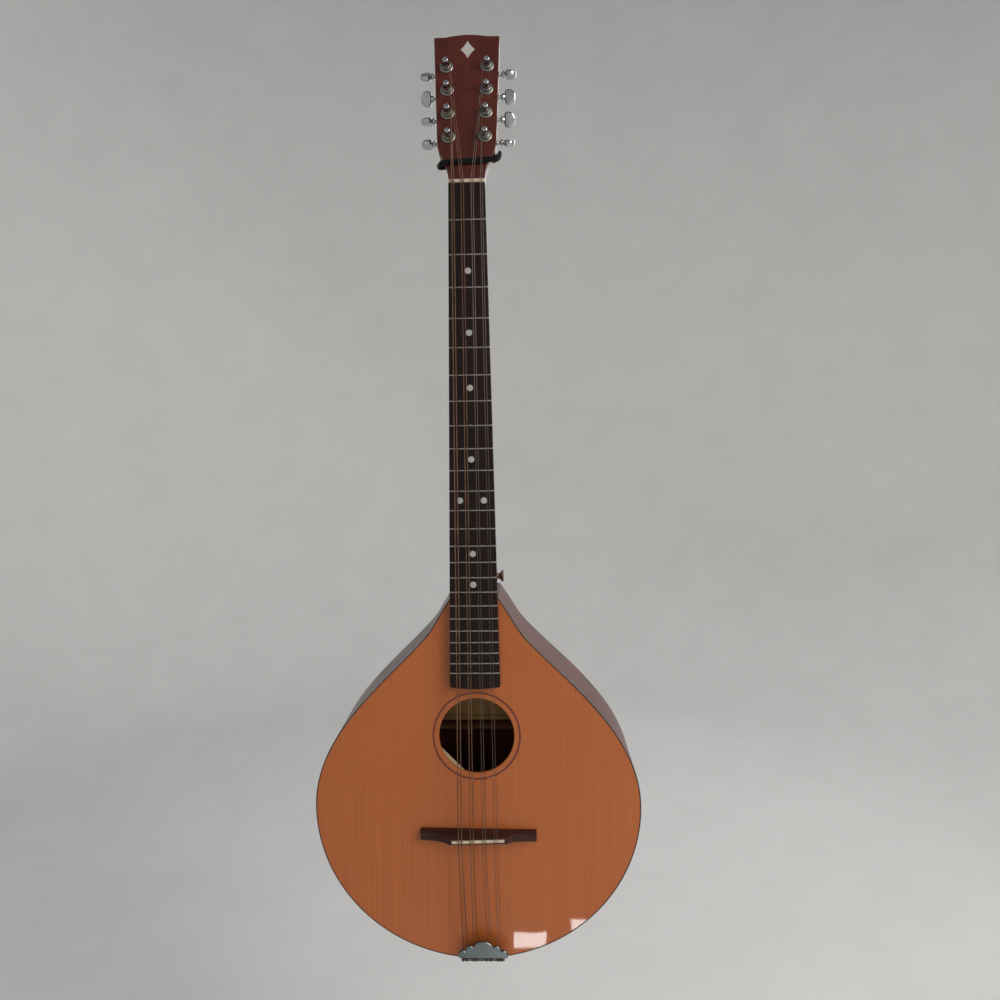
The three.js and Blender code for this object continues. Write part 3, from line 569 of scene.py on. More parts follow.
def make_spruce():
    """Spruce under amber gloss lacquer: fine dark lines along the grain, evenly spaced, with broader bands
    and faint silk.
    """
    finish = Finish(
        "spruce_top", Coat_Weight=0.5, Coat_Roughness=0.03, Coat_IOR=1.52, Specular_IOR_Level=0.15)
    fibre = finish.stretched((1, 1, 0.006))
    lines = finish.noise(fibre, 620, 2, 0.45, 0.1)
    bands = finish.noise(fibre, 75, 2, 0.5, 0.2)
    silk = finish.noise(finish.stretched((1, 1, 0.12)), 260, 2, 0.5)
    amber = colour(168, 91, 43)
    shade = finish.ramp(lines, (0.25, colour(155, 80, 35)), (0.5, amber), (0.8, colour(175, 98, 49)))
    shade = finish.tinted(shade, bands, 0.45, colour(157, 81, 37))
    shade = finish.tinted(shade, silk, 0.12, colour(190, 113, 64))
    ripple = finish.bump(finish.noise(fibre, 260, 1), 0.05, 0.0002)
    coat = finish.bump(finish.noise(finish.coordinates, 13, 2, 0.4), 0.06, 0.006, ripple)
    return finish.surface(shade, (lines, 0.42, 0.55), (lines, 0.06, 0.0002), Coat_Normal=coat)


def make_bone():
    finish = Finish("bone", Subsurface_Weight=0.12, Subsurface_Radius=(0.004, 0.003, 0.002),
                    Subsurface_Scale=0.5)
    lines = finish.noise(finish.stretched((0.05, 1, 1)), 900, 3, 0.6)
    spots = finish.noise(finish.coordinates, 700, 2, 0.7)
    shade = finish.ramp(lines, (0.3, colour(184, 166, 144)), (0.7, colour(212, 196, 174)))
    shade = finish.tinted(shade, spots, 0.25, colour(170, 146, 112))
    return finish.surface(shade, (lines, 0.3, 0.45), (spots, 0.06, 0.0001))


def make_pearl():
    finish = Finish("pearl", Coat_Weight=0.8, Coat_Roughness=0.06)
    swirl = finish.noise(finish.coordinates, 420, 2, 0.5, 2.5)
    shade = finish.ramp(swirl, (0.30, colour(150, 158, 157)), (0.48, colour(182, 182, 174)),
                        (0.62, colour(172, 158, 160)), (0.75, colour(158, 168, 160)))
    return finish.surface(shade, (swirl, 0.2, 0.35), (swirl, 0.05, 0.0001))


def make_wound():
    """Bronze wrap wire on a steel core: close rings along the string, with painted shade in the grooves
    between them.
    """
    finish = Finish("wound_bronze", Metallic=1.0)
    height = finish.add("ShaderNodeTexWave", {
        "Vector": finish.coordinates, "Scale": 1050, "Distortion": 0.0}, bands_direction="Z").outputs["Fac"]
    cloud = finish.noise(finish.coordinates, 120, 2, 0.6)
    shade = finish.ramp(cloud, (0.3, colour(112, 86, 72)), (0.7, colour(146, 116, 98)))
    # Painted shade: the grooves between the wraps are painted dark brown.
    painted_groove_shade = finish.maths("MULTIPLY", finish.ramp(height, (0.0, 1.0), (0.5, 0.0)), 0.7)
    shade = finish.mix(painted_groove_shade, shade, colour(52, 30, 22))
    return finish.surface(shade, (cloud, 0.28, 0.42), (height, 0.6, 0.0001))


def make_braid():
    """Black braided cord: crossing strands with a painted highlight on their crowns and painted shade between
    them.
    """
    finish = Finish("black_braid", Specular_IOR_Level=0.15, Sheen_Weight=0.02, Sheen_Roughness=0.5)
    slant = []
    for turn in (0.8, -0.8):
        band = finish.add("ShaderNodeTexWave", {
            "Vector": finish.stretched((1, 1, 1), (0, turn, 0)), "Scale": 260, "Distortion": 1.5,
            "Detail": 1.0}, bands_direction="X")
        slant.append(band.outputs["Fac"])
    weave = finish.maths("MAXIMUM", *slant)
    fuzz = finish.noise(finish.coordinates, 2400, 2, 0.7)
    # Painted highlight and shade: the weave makes the strands' crowns lighter and the gaps between them
    # darker.
    shade = finish.ramp(weave, (0.2, colour(4, 4, 4)), (0.9, colour(15, 15, 16)))
    shade = finish.tinted(shade, fuzz, 0.3, colour(24, 23, 24))
    fluffy = finish.bump(fuzz, 0.3, 0.0002)
    return finish.surface(shade, (fuzz, 0.75, 0.95), (weave, 0.8, 0.0006, fluffy))


def make_paper():
    """A printed label with a plain double frame and nothing written on it."""
    finish = Finish("label_paper")
    split = finish.add("ShaderNodeSeparateXYZ", {"Vector": finish.coordinates})
    low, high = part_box("label")
    middle = (low + high) / 2
    reach = []
    for axis in "xz":
        place = finish.maths("SUBTRACT", split.outputs[axis.upper()], getattr(middle, axis))
        half = (getattr(high, axis) - getattr(low, axis)) / 2
        reach.append(finish.maths("SUBTRACT", half, finish.maths("ABSOLUTE", place)))
    edge = finish.maths("MINIMUM", *reach)
    lines = finish.maths("ADD", *(finish.maths("COMPARE", edge, place, 0.0004) for place in (0.0042, 0.0062)))
    fibre = finish.noise(finish.coordinates, 900, 3, 0.7)
    age = finish.noise(finish.coordinates, 40, 3, 0.6)
    shade = finish.ramp(age, (0.3, colour(176, 134, 78)), (0.7, colour(200, 160, 100)))
    shade = finish.tinted(shade, fibre, 0.2, colour(164, 126, 68))
    shade = finish.mix(finish.maths("MULTIPLY", lines, 0.75), shade, colour(70, 52, 36))
    return finish.surface(shade, (fibre, 0.75, 0.95), (fibre, 0.15, 0.0002))


def make_floor_paint():
    finish = Finish("studio_paint")
    grain = finish.noise(finish.coordinates, 6, 3, 0.6)
    shade = finish.ramp(grain, (0.3, colour(222, 222, 221)), (0.7, colour(227, 227, 226)))
    return finish.set(Base_Color=shade, Roughness=finish.between(grain, 0.85, 0.95))


SPRUCE = make_spruce()
BRACE_WOOD = timber("bare_spruce", colour(158, 136, 108), colour(188, 166, 136), rough=(0.7, 0.85), grain=520)
# Bare spruce like the other braces, painted a darker brown: painted shade for the bars in the shade inside
# the body.
BACK_BAR_SHADED_SPRUCE = timber("back_bar_spruce_painted_shade", colour(104, 70, 44), colour(142, 100, 66), along=CROSSWISE,
                       rough=(0.7, 0.85),
                       grain=520)
STRIP_WOOD = timber("back_strip_wood", colour(58, 32, 24), colour(92, 54, 40), rough=(0.7, 0.85), grain=520)
SIDE_WOOD = timber("glossy_side_wood", colour(72, 38, 34), colour(106, 60, 54), pores=0.3, coat=0.25,
                   coat_rough=0.04, grain=420, waviness=0.25, figure=0.5)
NECK_WOOD = timber("neck_mahogany", colour(66, 30, 24), colour(110, 58, 44), pores=0.6, coat=0.35,
                   coat_rough=0.2, grain=520)
VENEER_WOOD = timber("head_veneer_wood", colour(58, 19, 12), colour(96, 38, 26), pores=0.6, coat=0.55,
                     coat_rough=0.14, grain=560, figure=0.5)
BOARD_WOOD = timber("fingerboard_rosewood", colour(14, 7, 5), colour(36, 19, 13), pores=0.8,
                    rough=(0.4, 0.55),
                    grain=480, bump=0.3)
BRIDGE_WOOD = timber("bridge_rosewood", colour(30, 14, 10), colour(76, 42, 32), along=CROSSWISE, pores=0.7,
                     rough=(0.35, 0.5), grain=430, bump=0.25)
BINDING = timber("dark_binding", colour(30, 15, 11), colour(52, 27, 20), coat=0.9, grain=900)
ROSETTE = timber("rosette_inlay", colour(88, 26, 10), colour(112, 40, 18), coat=0.9, grain=900)
BONE = make_bone()
PEARL = make_pearl()
CHROME = metal("chrome", colour(186, 188, 190), 0.09, wear=0.12)
NICKEL = metal("satin_nickel", colour(150, 150, 146), 0.3, streaks=0.1, wear=0.3)
CAST = metal("tailpiece_cast", colour(108, 117, 121), 0.3, streaks=0.08, wear=0.3)
FRET_METAL = metal("fret_nickel", colour(160, 154, 146), 0.22, streak=CROSSWISE, streaks=0.05, wear=0.2)
STEEL = metal("plain_steel", colour(104, 92, 86), 0.32, wear=0.2)
# Brass ball ends, darkened well below brass's own tone: brass colour with painted shade.
BRASS_WITH_PAINTED_SHADE = metal("ball_end_brass_painted_shade", colour(64, 50, 38), 0.4, wear=0.5)
# Dark steel for the truss rod; also darkened as painted shade for the tailpiece strap and the string loops in
# the shade under the tailpiece.
DARK_STEEL_AND_PAINTED_SHADE = metal("dark_steel_and_painted_shade", colour(46, 42, 40), 0.45, wear=0.2)
AGED_NICKEL = metal("aged_nickel", colour(128, 102, 92), 0.3, wear=0.3)
WOUND = make_wound()
BRAID = make_braid()
PAPER = make_paper()


def finish_cad(material, *nodes):
    """A CAD node keeps its shape and takes a procedural material."""
    for name in nodes:
        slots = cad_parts[name].data.materials
        slots.clear()
        slots.append(material)


# ---------- cord ----------


def throat_outward(point):
    """The direction from the nearest point of the throat to a point of the cord, in the head's frame."""
    nearest = Vector((clamp(point.x, *THROAT_X), clamp(point.y, 1, HEAD_THICKNESS - 1), point.z))
    return point - nearest


CORD_FRONT = -CORD_THICKNESS / 2 - TOUCH_GAP
CORD_BACK = HEAD_THICKNESS + CORD_THICKNESS / 2 + 3 * TOUCH_GAP
CORD_TURN = vectors(
    (-2, CORD_BACK, 27.8), (-20, CORD_BACK, 26), (-27.2, CORD_BACK - 0.4, 25), (-29.6, CORD_BACK - 3.4, 23.8),
    (-28.2, 9, 21), (-26, 1.4, 18.2), (-22, CORD_FRONT, 17.6), (0, CORD_FRONT, 18.9), (24, CORD_FRONT, 19.9),
    (28.6, CORD_FRONT + 0.6, 21), (31.6, 1.6, 25), (32.8, 4.6, 29.4), (33.2, 10, 33),
    (32.6, CORD_BACK - 3, 33.6), (30.6, CORD_BACK - 0.2, 33), (26.6, CORD_BACK, 31.6),
    (20, CORD_BACK, 29.6), (3, CORD_BACK, 28.2))


def make_cord():
    path = smooth_path(CORD_TURN, 10)
    shape = Shape().tube(path, CORD_THICKNESS / 2, 16, HEAD, CORD_WIDTH / CORD_THICKNESS, throat_outward)
    cord = shape.make("throat_cord", BRAID, "cord", replaces=["hanging_loop"])
    middle = Vector((0.5, CORD_BACK + 2.6, 28))
    knot = []
    for a in angles(KNOT_STEPS):
        knot.append(middle + Vector((
            (math.sin(a) + 2 * math.sin(2 * a)) * 1.9,
            -math.sin(3 * a) * 1.7 + 1.2,
            (math.cos(a) - 2 * math.cos(2 * a)) * 1.7)))
    tails = Shape().tube(knot + knot[:1], KNOT_TAIL_RADIUS, 12, HEAD)
    for sign, drop in ((-1, 15), (1, 12)):
        tail = smooth_path([
            middle + Vector((sign * 2, 1.2, -2)), middle + Vector((sign * 3.4, 2.0, -6)),
            middle + Vector((sign * 4.2, 1.2, -10)), middle + Vector((sign * 4.0, 0.4, -drop))], 8)
        tails.tube(tail, KNOT_TAIL_RADIUS, 12, HEAD)
    knot_piece = tails.make("throat_cord_knot", BRAID, "cord")


make_cord()

# ---------- body ----------


def body_half():
    """The right half of the body's outline, from the neck joint to the tail."""
    start = Vector((JOINT_HALF_WIDTH, JOINT_Z))
    flank = Vector((93, -497))
    wide = Vector((HALF_WIDTH, WIDEST_Z))
    points = [start]
    points += bezier(start, (53.1, -456.6), (31.6, -437.3), flank, 28)
    points += bezier(flank, (129.2, -533), (HALF_WIDTH, -574), wide, 32)
    bout = WIDEST_Z - TAIL_Z
    steps = 64
    for i in range(1, steps + 1):
        a = math.pi / 2 * i / steps
        points.append(Vector((HALF_WIDTH * math.cos(a), WIDEST_Z - bout * math.sin(a))))
    points[-1].x = 0
    return points


def body_outline():
    """The whole outline, the flat upper end included, as one closed loop."""
    half = body_half()
    end = [Vector((JOINT_HALF_WIDTH * t, JOINT_Z)) for t in (-0.5, 0, 0.5)]
    left = [Vector((-p.x, p.y)) for p in reversed(half[:-1])]
    return half + left + end


OUTLINE = body_outline()


def hole_ring(radius):
    """Points round the hole, each on the line from its centre to a point of the outline."""
    return [HOLE + (p - HOLE).normalized() * radius for p in OUTLINE]


def blended(a, b, t):
    return [p.lerp(q, t) for p, q in zip(a, b)]


def back_depth(z):
    """The depth of the body at z, with a soft bend where the back starts to rise to the neck."""
    ease = 14
    slope = (BODY_DEPTH - NECK_END_DEPTH) / (JOINT_Z - WIDEST_Z)
    beyond = z - WIDEST_Z
    if beyond > ease:
        return BODY_DEPTH - slope * beyond
    return BODY_DEPTH - slope * max(beyond + ease, 0) ** 2 / (4 * ease)


def follow_back(point):
    """A point of the rear half of the body, moved to where the back is."""
    if point.y > BODY_DEPTH / 2:
        return Vector((point.x, point.y + back_depth(point.z) - BODY_DEPTH, point.z))
    return point


def level(points, y):
    return [follow_back(Vector((p.x, y, p.y))) for p in points]


def soundboard():
    """The plate inside its binding, with a softened hole edge and a groove for the ring."""
    outer = inset(OUTLINE, BINDING_WIDTH)
    groove = (ROSETTE_RADIUS - ROSETTE_WIDTH / 2 - 0.05, ROSETTE_RADIUS + ROSETTE_WIDTH / 2 + 0.05)
    rings = [level(outer, 0)]
    rings += [level(blended(outer, hole_ring(groove[1]), t), 0) for t in (0.03, 0.35, 0.7, 0.97)]
    rings += [level(hole_ring(groove[i]), y) for i, y in ((1, 0), (1, 1.2), (0, 1.2), (0, 0))]
    edge = ((1.2, 0), (0.5, 0), (0.15, 0.15), (0, 0.5), (0, PLATE - 0.3), (0.3, PLATE))
    rings += [level(hole_ring(HOLE_RADIUS + away), y) for away, y in edge]
    rings += [level(blended(hole_ring(HOLE_RADIUS + 0.3), outer, t), PLATE) for t in (0.03, 0.5, 0.97, 1)]
    Shape().loft(rings, looped=True).make("soundboard_plate", SPRUCE, "spruce", replaces=["soundboard"])
    Shape().band(
        hole_ring(ROSETTE_RADIUS + ROSETTE_WIDTH / 2), hole_ring(ROSETTE_RADIUS - ROSETTE_WIDTH / 2),
        -0.02, 1.1, 0.08).make("rosette_ring", ROSETTE, "rosewood")
    strip = Shape().band(OUTLINE, inset(OUTLINE, BINDING_WIDTH - 0.04), 0, PLATE, 0.35)
    strip.make("top_binding", BINDING, "rosewood")


def across_plate(half_width, z):
    """A closed ring round the back plate at z."""
    wide = max(half_width, 0.3)
    outside = [Vector((wide * t, back_depth(z), z)) for t in (-1, -0.6, -0.2, 0.2, 0.6, 1)]
    return outside + [p - Vector((0, PLATE, 0)) for p in outside[::-1]]


def back_plate():
    inner = inset(OUTLINE, BINDING_WIDTH)
    half = [p for p in inner[:len(body_half())] if p.x > 0]
    rings = [across_plate(p.x, p.y) for p in half]
    Shape().loft(rings).make("back_plate", SIDE_WOOD, "side_wood", replaces=["back"])
    shape = Shape().band(
        OUTLINE, inset(OUTLINE, BINDING_WIDTH - 0.04), BODY_DEPTH - PLATE, BODY_DEPTH, 0.4)
    shape.points = [follow_back(p) for p in shape.points]
    shape.make("back_binding", BINDING, "rosewood")
    section = ((-1.6, -0.5), (1.6, -0.5), (1.6, 0.03), (-1.6, 0.03))
    line = [lerp(JOINT_Z - 2, TAIL_Z + 1.6, i / 40) for i in range(41)]
    rings = [[Vector((x, back_depth(z) + y, z)) for x, y in section] for z in line]
    Shape().loft(rings).make("back_centre_inlay", BINDING, "rosewood")


def back_bracing():
    """Tall rounded bars across the back, scooped at their ends, and a strip over the centre joint."""
    inside = PLATE + GLUE_GAP
    bars = Shape()
    section = ((0, -0.5), (0.72, -0.5), (0.9, -0.36), (1, 0), (0.9, 0.36), (0.72, 0.5), (0, 0.5))
    for middle, half_length in BACK_BARS:
        rings = []
        seat = back_depth(middle) - inside
        for t in [i / 24 * 2 - 1 for i in range(25)]:
            height = lerp(4, BACK_BAR_DEPTH, clamp((1 - abs(t)) / 0.22, 0, 1) ** 0.6)
            rings.append([
                Vector((t * half_length, seat - up * height, middle + along * BACK_BAR_WIDTH))
                for up, along in section])
        bars.loft(rings)
    # The bars' darker spruce is painted shade.
    bars.make("back_bars", BACK_BAR_SHADED_SPRUCE, "brace_wood", replaces=["back_bracing"])
    wide = BACK_STRIP_HALF_WIDTH
    rings = []
    for z in [lerp(BACK_BARS[0][0], BACK_STRIP_END_Z, i / 30) for i in range(31)]:
        rings.append([Vector((x, back_depth(z) - inside - y, z)) for x, y in (
            (-wide, 0), (wide, 0), (wide, 0.8), (wide - 1.2, 1.5), (1.2 - wide, 1.5), (-wide, 0.8))])
    Shape().loft(rings).make("back_strip", STRIP_WOOD, "brace_wood")


def sides():
    """Two bent strips that turn in across the flat upper end, with kerfed linings inside."""
    front = PLATE + GLUE_GAP
    rear = BODY_DEPTH - PLATE - GLUE_GAP
    for name, sign in (("bass_side", -1), ("treble_side", 1)):
        half = body_half()
        shoulder = lerp(TENON_SLOT, JOINT_HALF_WIDTH, 0.9)
        outer = [Vector((TENON_SLOT, JOINT_Z)), Vector((shoulder, JOINT_Z))] + half
        loop = inset(OUTLINE, SIDE_THICKNESS)[:len(half)]
        inner = [Vector((x, JOINT_Z - SIDE_THICKNESS)) for x in (TENON_SLOT, 20)] + loop
        outer[-1].x = GLUE_GAP
        inner[-1].x = GLUE_GAP
        outline = [Vector((sign * p.x, p.y)) for p in outer + inner[::-1]]
        rings = [level(outline, y) for y in (front, front + 0.5, (front + rear) / 2, rear - 0.5, rear)]
        Shape().loft(rings).make(name + "_strip", SIDE_WOOD, "side_wood", replaces=[name])
    wall = inset(OUTLINE, SIDE_THICKNESS + 0.1)
    foot = inset(OUTLINE, SIDE_THICKNESS + LINING_THICKNESS)
    tip = inset(OUTLINE, SIDE_THICKNESS + LINING_TIP)
    linings = Shape()
    for glued, free in ((front, front + LINING_HEIGHT), (rear, rear - LINING_HEIGHT)):
        for i in range(2, len(OUTLINE) - 6):
            if wall[i].y > LINING_TOP_Z or abs(wall[i].x) < LINING_CLEAR_X:
                continue
            block = []
            for t in (KERF, 1 - KERF):
                w, f, n = (line[i].lerp(line[i + 1], t) for line in (wall, foot, tip))
                bend = lerp(glued, free, 0.4)
                corners = ((w, glued), (f, glued), (f, bend), (n, free), (w, free))
                block.append([follow_back(Vector((p.x, y, p.y))) for p, y in corners])
            linings.loft(block)
    linings.make("kerfed_linings", BRACE_WOOD, "brace_wood")


soundboard()
back_plate()
back_bracing()
sides()
finish_cad(NECK_WOOD, "neck_block", "tail_block")
finish_cad(BRACE_WOOD, "top_bracing")
finish_cad(PAPER, "label")
finish_cad(DARK_STEEL_AND_PAINTED_SHADE, "truss_rod")

# ---------- neck and head ----------


def board_half_width(z):
    return lerp(BOARD_NUT_HALF_WIDTH, BOARD_END_HALF_WIDTH, -z / BOARD_LENGTH)


def neck_ring(z):
    """Half a section of the neck: a soft arch along the shaft, squarer down the heel."""
    steps = 28
    sweep = clamp((z - HEEL_START_Z) / (HEEL_FULL_Z - HEEL_START_Z), 0, 1)
    shaft = lerp(NECK_DEPTH_AT_NUT, NECK_DEPTH_AT_HEEL, z / HEEL_START_Z)
    depth = lerp(shaft, HEEL_DEPTH, 1 - math.sqrt(1 - sweep ** 2.6))
    ring = []
    for i in range(steps + 1):
        angle = math.pi * i / steps
        share = math.sin(angle)
        arch = math.sqrt(max(0, 1 - share ** 2))
        square = (1 - HEEL_TAPER * share) * math.sqrt(max(0, 1 - share ** HEEL_SQUARENESS))
        width = board_half_width(max(z, -370)) * lerp(arch, square, sweep)
        x = 0 if i * 2 == steps else math.copysign(width, math.cos(angle))
        ring.append(Vector((x, depth * share, z)))
    return ring


def head_half():
    start = Vector((BOARD_NUT_HALF_WIDTH, 0))
    points = [start]
    points += bezier(start, (BOARD_NUT_HALF_WIDTH + 0.2, 7), (20, 14), (22.2, 19), 8)
    points += bezier((22.2, 19), (25.5, 26), (29, 30), (29.8, 40), 8)
    top = Vector((34.2, HEAD_LENGTH))
    points += [points[-1].lerp(top, t) for t in (0.3, 0.6, 0.985)]
    points += quadratic(points[-1], top, (33, HEAD_LENGTH + 0.05), 4)
    points.append(Vector((22, HEAD_LENGTH + 0.2)))
    points += quadratic((22, HEAD_LENGTH + 0.2), (9, HEAD_LENGTH + HEAD_CREST),
                        (0, HEAD_LENGTH + HEAD_CREST), 8)
    return points


def post_places():
    """(name, side's sign, X, Z, rest turn) of each tuner in the head's frame."""
    places = []
    for side, sign in (("bass", -1), ("treble", 1)):
        for i in range(POSTS_PER_SIDE):
            x = lerp(LOWEST_POST_X, HIGHEST_POST_X, i / (POSTS_PER_SIDE - 1))
            turn = KNOB_REST_TURNS[side][i]
            places.append((f"{side}_tuner_{i + 1}", sign, sign * x, FIRST_POST_Z + i * POST_SPACING, turn))
    return places


def bushing_holes():
    bore = [(0, -6), (HEAD_BORE_RADIUS, -6), (HEAD_BORE_RADIUS, 24), (0, 24)]
    holes = Shape()
    for _, _, x, z, _ in post_places():
        holes.lathe(bore, 32, HEAD @ Matrix.Translation((x, 0, z)), 0.01, 1)
    return holes


def nut_seat(depth):
    """The space for the nut, down to a depth behind the fingerboard's underside."""
    wide, end = 40, NUT_LENGTH + 0.3
    return Shape().plate(vectors((-wide, -2), (wide, -2), (wide, end), (-wide, end)), -25, depth, 0.01, 1)


def neck():
    stations = [6, 0, -6] + [-12 * i for i in range(1, 28)]
    stations += [lerp(HEEL_START_Z, HEEL_FULL_Z, math.sin(math.pi / 2 * i / 22)) for i in range(23)]
    stations.append(JOINT_Z + 0.3)
    shaft = Shape().loft([neck_ring(z) for z in stations])
    piece = shaft.make("neck_and_head", NECK_WOOD, "mahogany", replaces=["neck"])
    volute = []
    for i in range(15):
        z = lerp(-14, 20, i / 14)
        swell = math.sin(math.pi * clamp((z + 14) / 36, 0, 1)) ** 0.8
        volute.append([Vector((p.x * 0.99, max(p.y * lerp(0.72, 1.03, swell), 0.9), z))
                       for p in neck_ring(min(z, 0))])
    combine(piece, Shape().loft(volute), "UNION")
    plate = Shape().plate(mirrored(head_half()), VENEER + GLUE_GAP, HEAD_THICKNESS, 1.6, 4, HEAD)
    combine(piece, plate, "UNION")
    combine(piece, nut_seat(0))
    combine(piece, bushing_holes())
    modifier = piece.modifiers.new("skin", "REMESH")
    modifier.mode = "VOXEL"
    modifier.voxel_size = 0.9 * MM
    modifier = piece.modifiers.new("ease", "SMOOTH")
    modifier.factor = 0.5
    modifier.iterations = 6
    apply_modifiers(piece)
    smooth_over(piece, 60)


def head_face():
    sheet = Shape().plate(mirrored(head_half()), 0, VENEER, 0.45, 3, HEAD)
    piece = sheet.make("head_face", VENEER_WOOD, "mahogany", replaces=["head_veneer"])
    combine(piece, nut_seat(3))
    combine(piece, bushing_holes())
    smooth_over(piece)
    lozenge = []
    corners = vectors((0, 10.5), (7.5, 0), (0, -10.5), (-7.5, 0))
    for a, b in zip(corners, corners[1:] + corners[:1]):
        lozenge += [a] + quadratic(a, (a + b) / 2 * 0.78, b, 8)[:-1]
    lozenge = [p + Vector((1, 149)) for p in lozenge]
    Shape().plate(lozenge, -0.12, 0.6, 0.08, 2, HEAD).make("head_inlay", PEARL)


neck()
head_face()

# ---------- fingerboard ----------


def fret_z(n):
    return -SCALE * (1 - 2 ** (-n / 12))


def fingerboard():
    wide, end = BOARD_END_HALF_WIDTH, -BOARD_LENGTH
    half = vectors((BOARD_NUT_HALF_WIDTH, 0), (wide - 0.2, end + 1.5))
    half += quadratic(half[-1], (wide, end), (wide - 1.6, end - 0.2), 4)
    half += quadratic(half[-1], (9, end - BOARD_END_CROWN), (0, end - BOARD_END_CROWN), 10)
    Shape().plate(mirrored(half), -BOARD_THICKNESS, -GLUE_GAP, 0.45, 3).make(
        "fingerboard_blank", BOARD_WOOD, "rosewood", replaces=["fingerboard"])
    wires = Shape()
    root = 0.2 - BOARD_THICKNESS
    arc = [math.pi * i / 10 for i in range(11)]
    section = [(math.cos(a) * FRET_HALF_WIDTH, -0.45 - math.sin(a) * FRET_CROWN) for a in arc]
    section = [(FRET_HALF_WIDTH, 0)] + section + [(-FRET_HALF_WIDTH, 0)]
    for n in range(1, FRETS + 1):
        z = fret_z(n)
        width = board_half_width(z) - 0.25
        ends = ((width, 0.25), (width - 0.35, 0.8), (width - 1.1, 1))
        rings = []
        for x, shrink in [(-x, shrink) for x, shrink in ends] + list(ends[::-1]):
            narrow = lerp(0.7, 1, shrink)
            rings.append([Vector((x, root + y * shrink, z + dz * narrow)) for dz, y in section])
        wires.loft(rings)
    wires.make("fret_wires", FRET_METAL)
    dots = Shape()
    places = [(0, n) for n in (3, 5, 7, 10, 15, 17)] + [(-11.9, 12), (11.9, 12)]
    for x, n in places:
        z = (fret_z(n) + fret_z(n - 1)) / 2
        at = Matrix.Translation((x, -BOARD_THICKNESS, z))
        dots.lathe([(0, -0.06), (DOT_RADIUS, -0.06), (DOT_RADIUS, 1), (0, 1)], 32, at, 0.08, 2)
    dots.make("position_dots", PEARL)


def nut():
    outline = vectors(
        (-GLUE_GAP, GLUE_GAP), (-GLUE_GAP, NUT_LENGTH), (-NUT_HEIGHT + 2.0, NUT_LENGTH),
        (-NUT_HEIGHT + 0.3, 2.2), (-NUT_HEIGHT, 0.8), (-NUT_HEIGHT, GLUE_GAP))
    section = rounded(outline, 0.5, 3)
    rings = []
    middle = sum(section, Vector((0, 0))) / len(section)
    for x, shrink in ((-1, 0.86), (-0.992, 0.96), (-0.975, 1), (0.975, 1), (0.992, 0.96), (1, 0.86)):
        rings.append([Vector((x * BOARD_NUT_HALF_WIDTH, *(middle + (p - middle) * shrink))) for p in section])
    piece = Shape().loft(rings).make("nut_bone", BONE, "bone", replaces=["nut"])
    slots = Shape()
    for i, radius in enumerate(STRING_RADII):
        x, y = NUT_X[i], -NUT_HEIGHT - radius
        slots.tube([Vector((x, y + 0.1, -3)), Vector((x, y + 0.1, 1)), Vector((x, y + 3.2, 8))],
                   radius + STRING_CLEARANCE, 10)
    combine(piece, slots)
    smooth_over(piece)


fingerboard()
nut()

# ---------- tuners ----------


def housing(name, sign, place):
    """A sealed cast case with a domed cover, a screwed ear and a collar where the shaft leaves."""
    corners = ((9.5, -7), (9.5, 10), (-7.5, 10), (-7.5, -7))
    outline = rounded([Vector((sign * x, z)) for x, z in corners], 3.2, 6)
    front = HEAD_THICKNESS + 0.3
    rear = front + 11.2
    shape = Shape().plate(outline, front, rear, 1.5, 5, place)
    arc = [math.pi * (1 + i / 12) for i in range(13)]
    tip = [Vector((4 * math.cos(a), 4 * math.sin(a) - 9.5)) for a in arc]
    ear = [Vector((-4, -5))] + tip + [Vector((4, -5))]
    shape.plate(ear, front, front + 1.4, 0.35, 2, place)
    centre = Matrix.Translation((sign * 0.8, 0, 0.8))
    shape.lathe([(0, rear + 0.35), (3.6, rear + 0.35), (3.9, rear - 1), (0, rear - 1)], 32,
                place @ centre, 0.3, 3)
    sideways = place @ Matrix.Translation((sign * 9.2, WORM_Y, WORM_OFFSET))
    sideways = sideways @ Matrix.Rotation(-sign * math.pi / 2, 4, "Z")
    shape.lathe([(1.9, -1), (4.1, -1), (4.1, 0.35), (3.5, 0.55), (1.9, 0.55), (1.9, -1)], 32, sideways,
                0.2, 2)
    shape.make(name + "_case", CHROME, "chrome", replaces=[name + "_housing"])
    screw = Shape()
    at = place @ Matrix.Translation((0, 0, -10.2))
    head_y = front + 1.45
    screw.lathe([
        (0, head_y + 1.3), (1.1, head_y + 1.25), (2.0, head_y + 0.7), (2.3, head_y), (0.9, head_y),
        (0.9, front - 9), (0, front - 10.5)], 24, at, 0.2, 2)
    piece = screw.make(name + "_screw", NICKEL, "chrome")
    cross = Shape()
    for turn in (0.4, 0.4 + math.pi / 2):
        blade = at @ Matrix.Translation((0, head_y + 1.2, 0)) @ Matrix.Rotation(turn, 4, "Y")
        cross.plate(rectangle(1.4, 0.24), -0.8, 1.2, 0.02, 1, blade)
    combine(piece, cross)
    smooth_over(piece)


def bushing(name, place):
    """A threaded sleeve with a raised hexagonal nut over a dished washer."""
    bore = POST_RADIUS + 0.3
    sleeve = ((bore, -4), (bore, 12), (4.5, 12), (4.5, -3.6), (4.1, -4), (bore, -4))
    washer = ((4.7, -0.15), (7, -0.15), (7, -0.75), (6.4, -1.2), (5.0, -1.3), (4.7, -1.2), (4.7, -0.15))
    shape = Shape().lathe(sleeve, 40, place, 0.15, 2)
    shape.lathe(washer, 56, place, 0.2, 3)
    hexagon = [Vector((math.cos(a), math.sin(a))) * 5.45 for a in angles(6)]
    outer = []
    for a, b in zip(hexagon, hexagon[1:] + hexagon[:1]):
        outer += [a.lerp(b, t) for t in (0.06, 0.28, 0.5, 0.72, 0.94)]
    inner = [p.normalized() * 4.56 for p in outer]
    shape.band(outer, inner, -3.4, -1.32, 0.3, place)
    shape.make(name + "_nut_and_washer", NICKEL, "chrome", replaces=[name + "_bushing"])


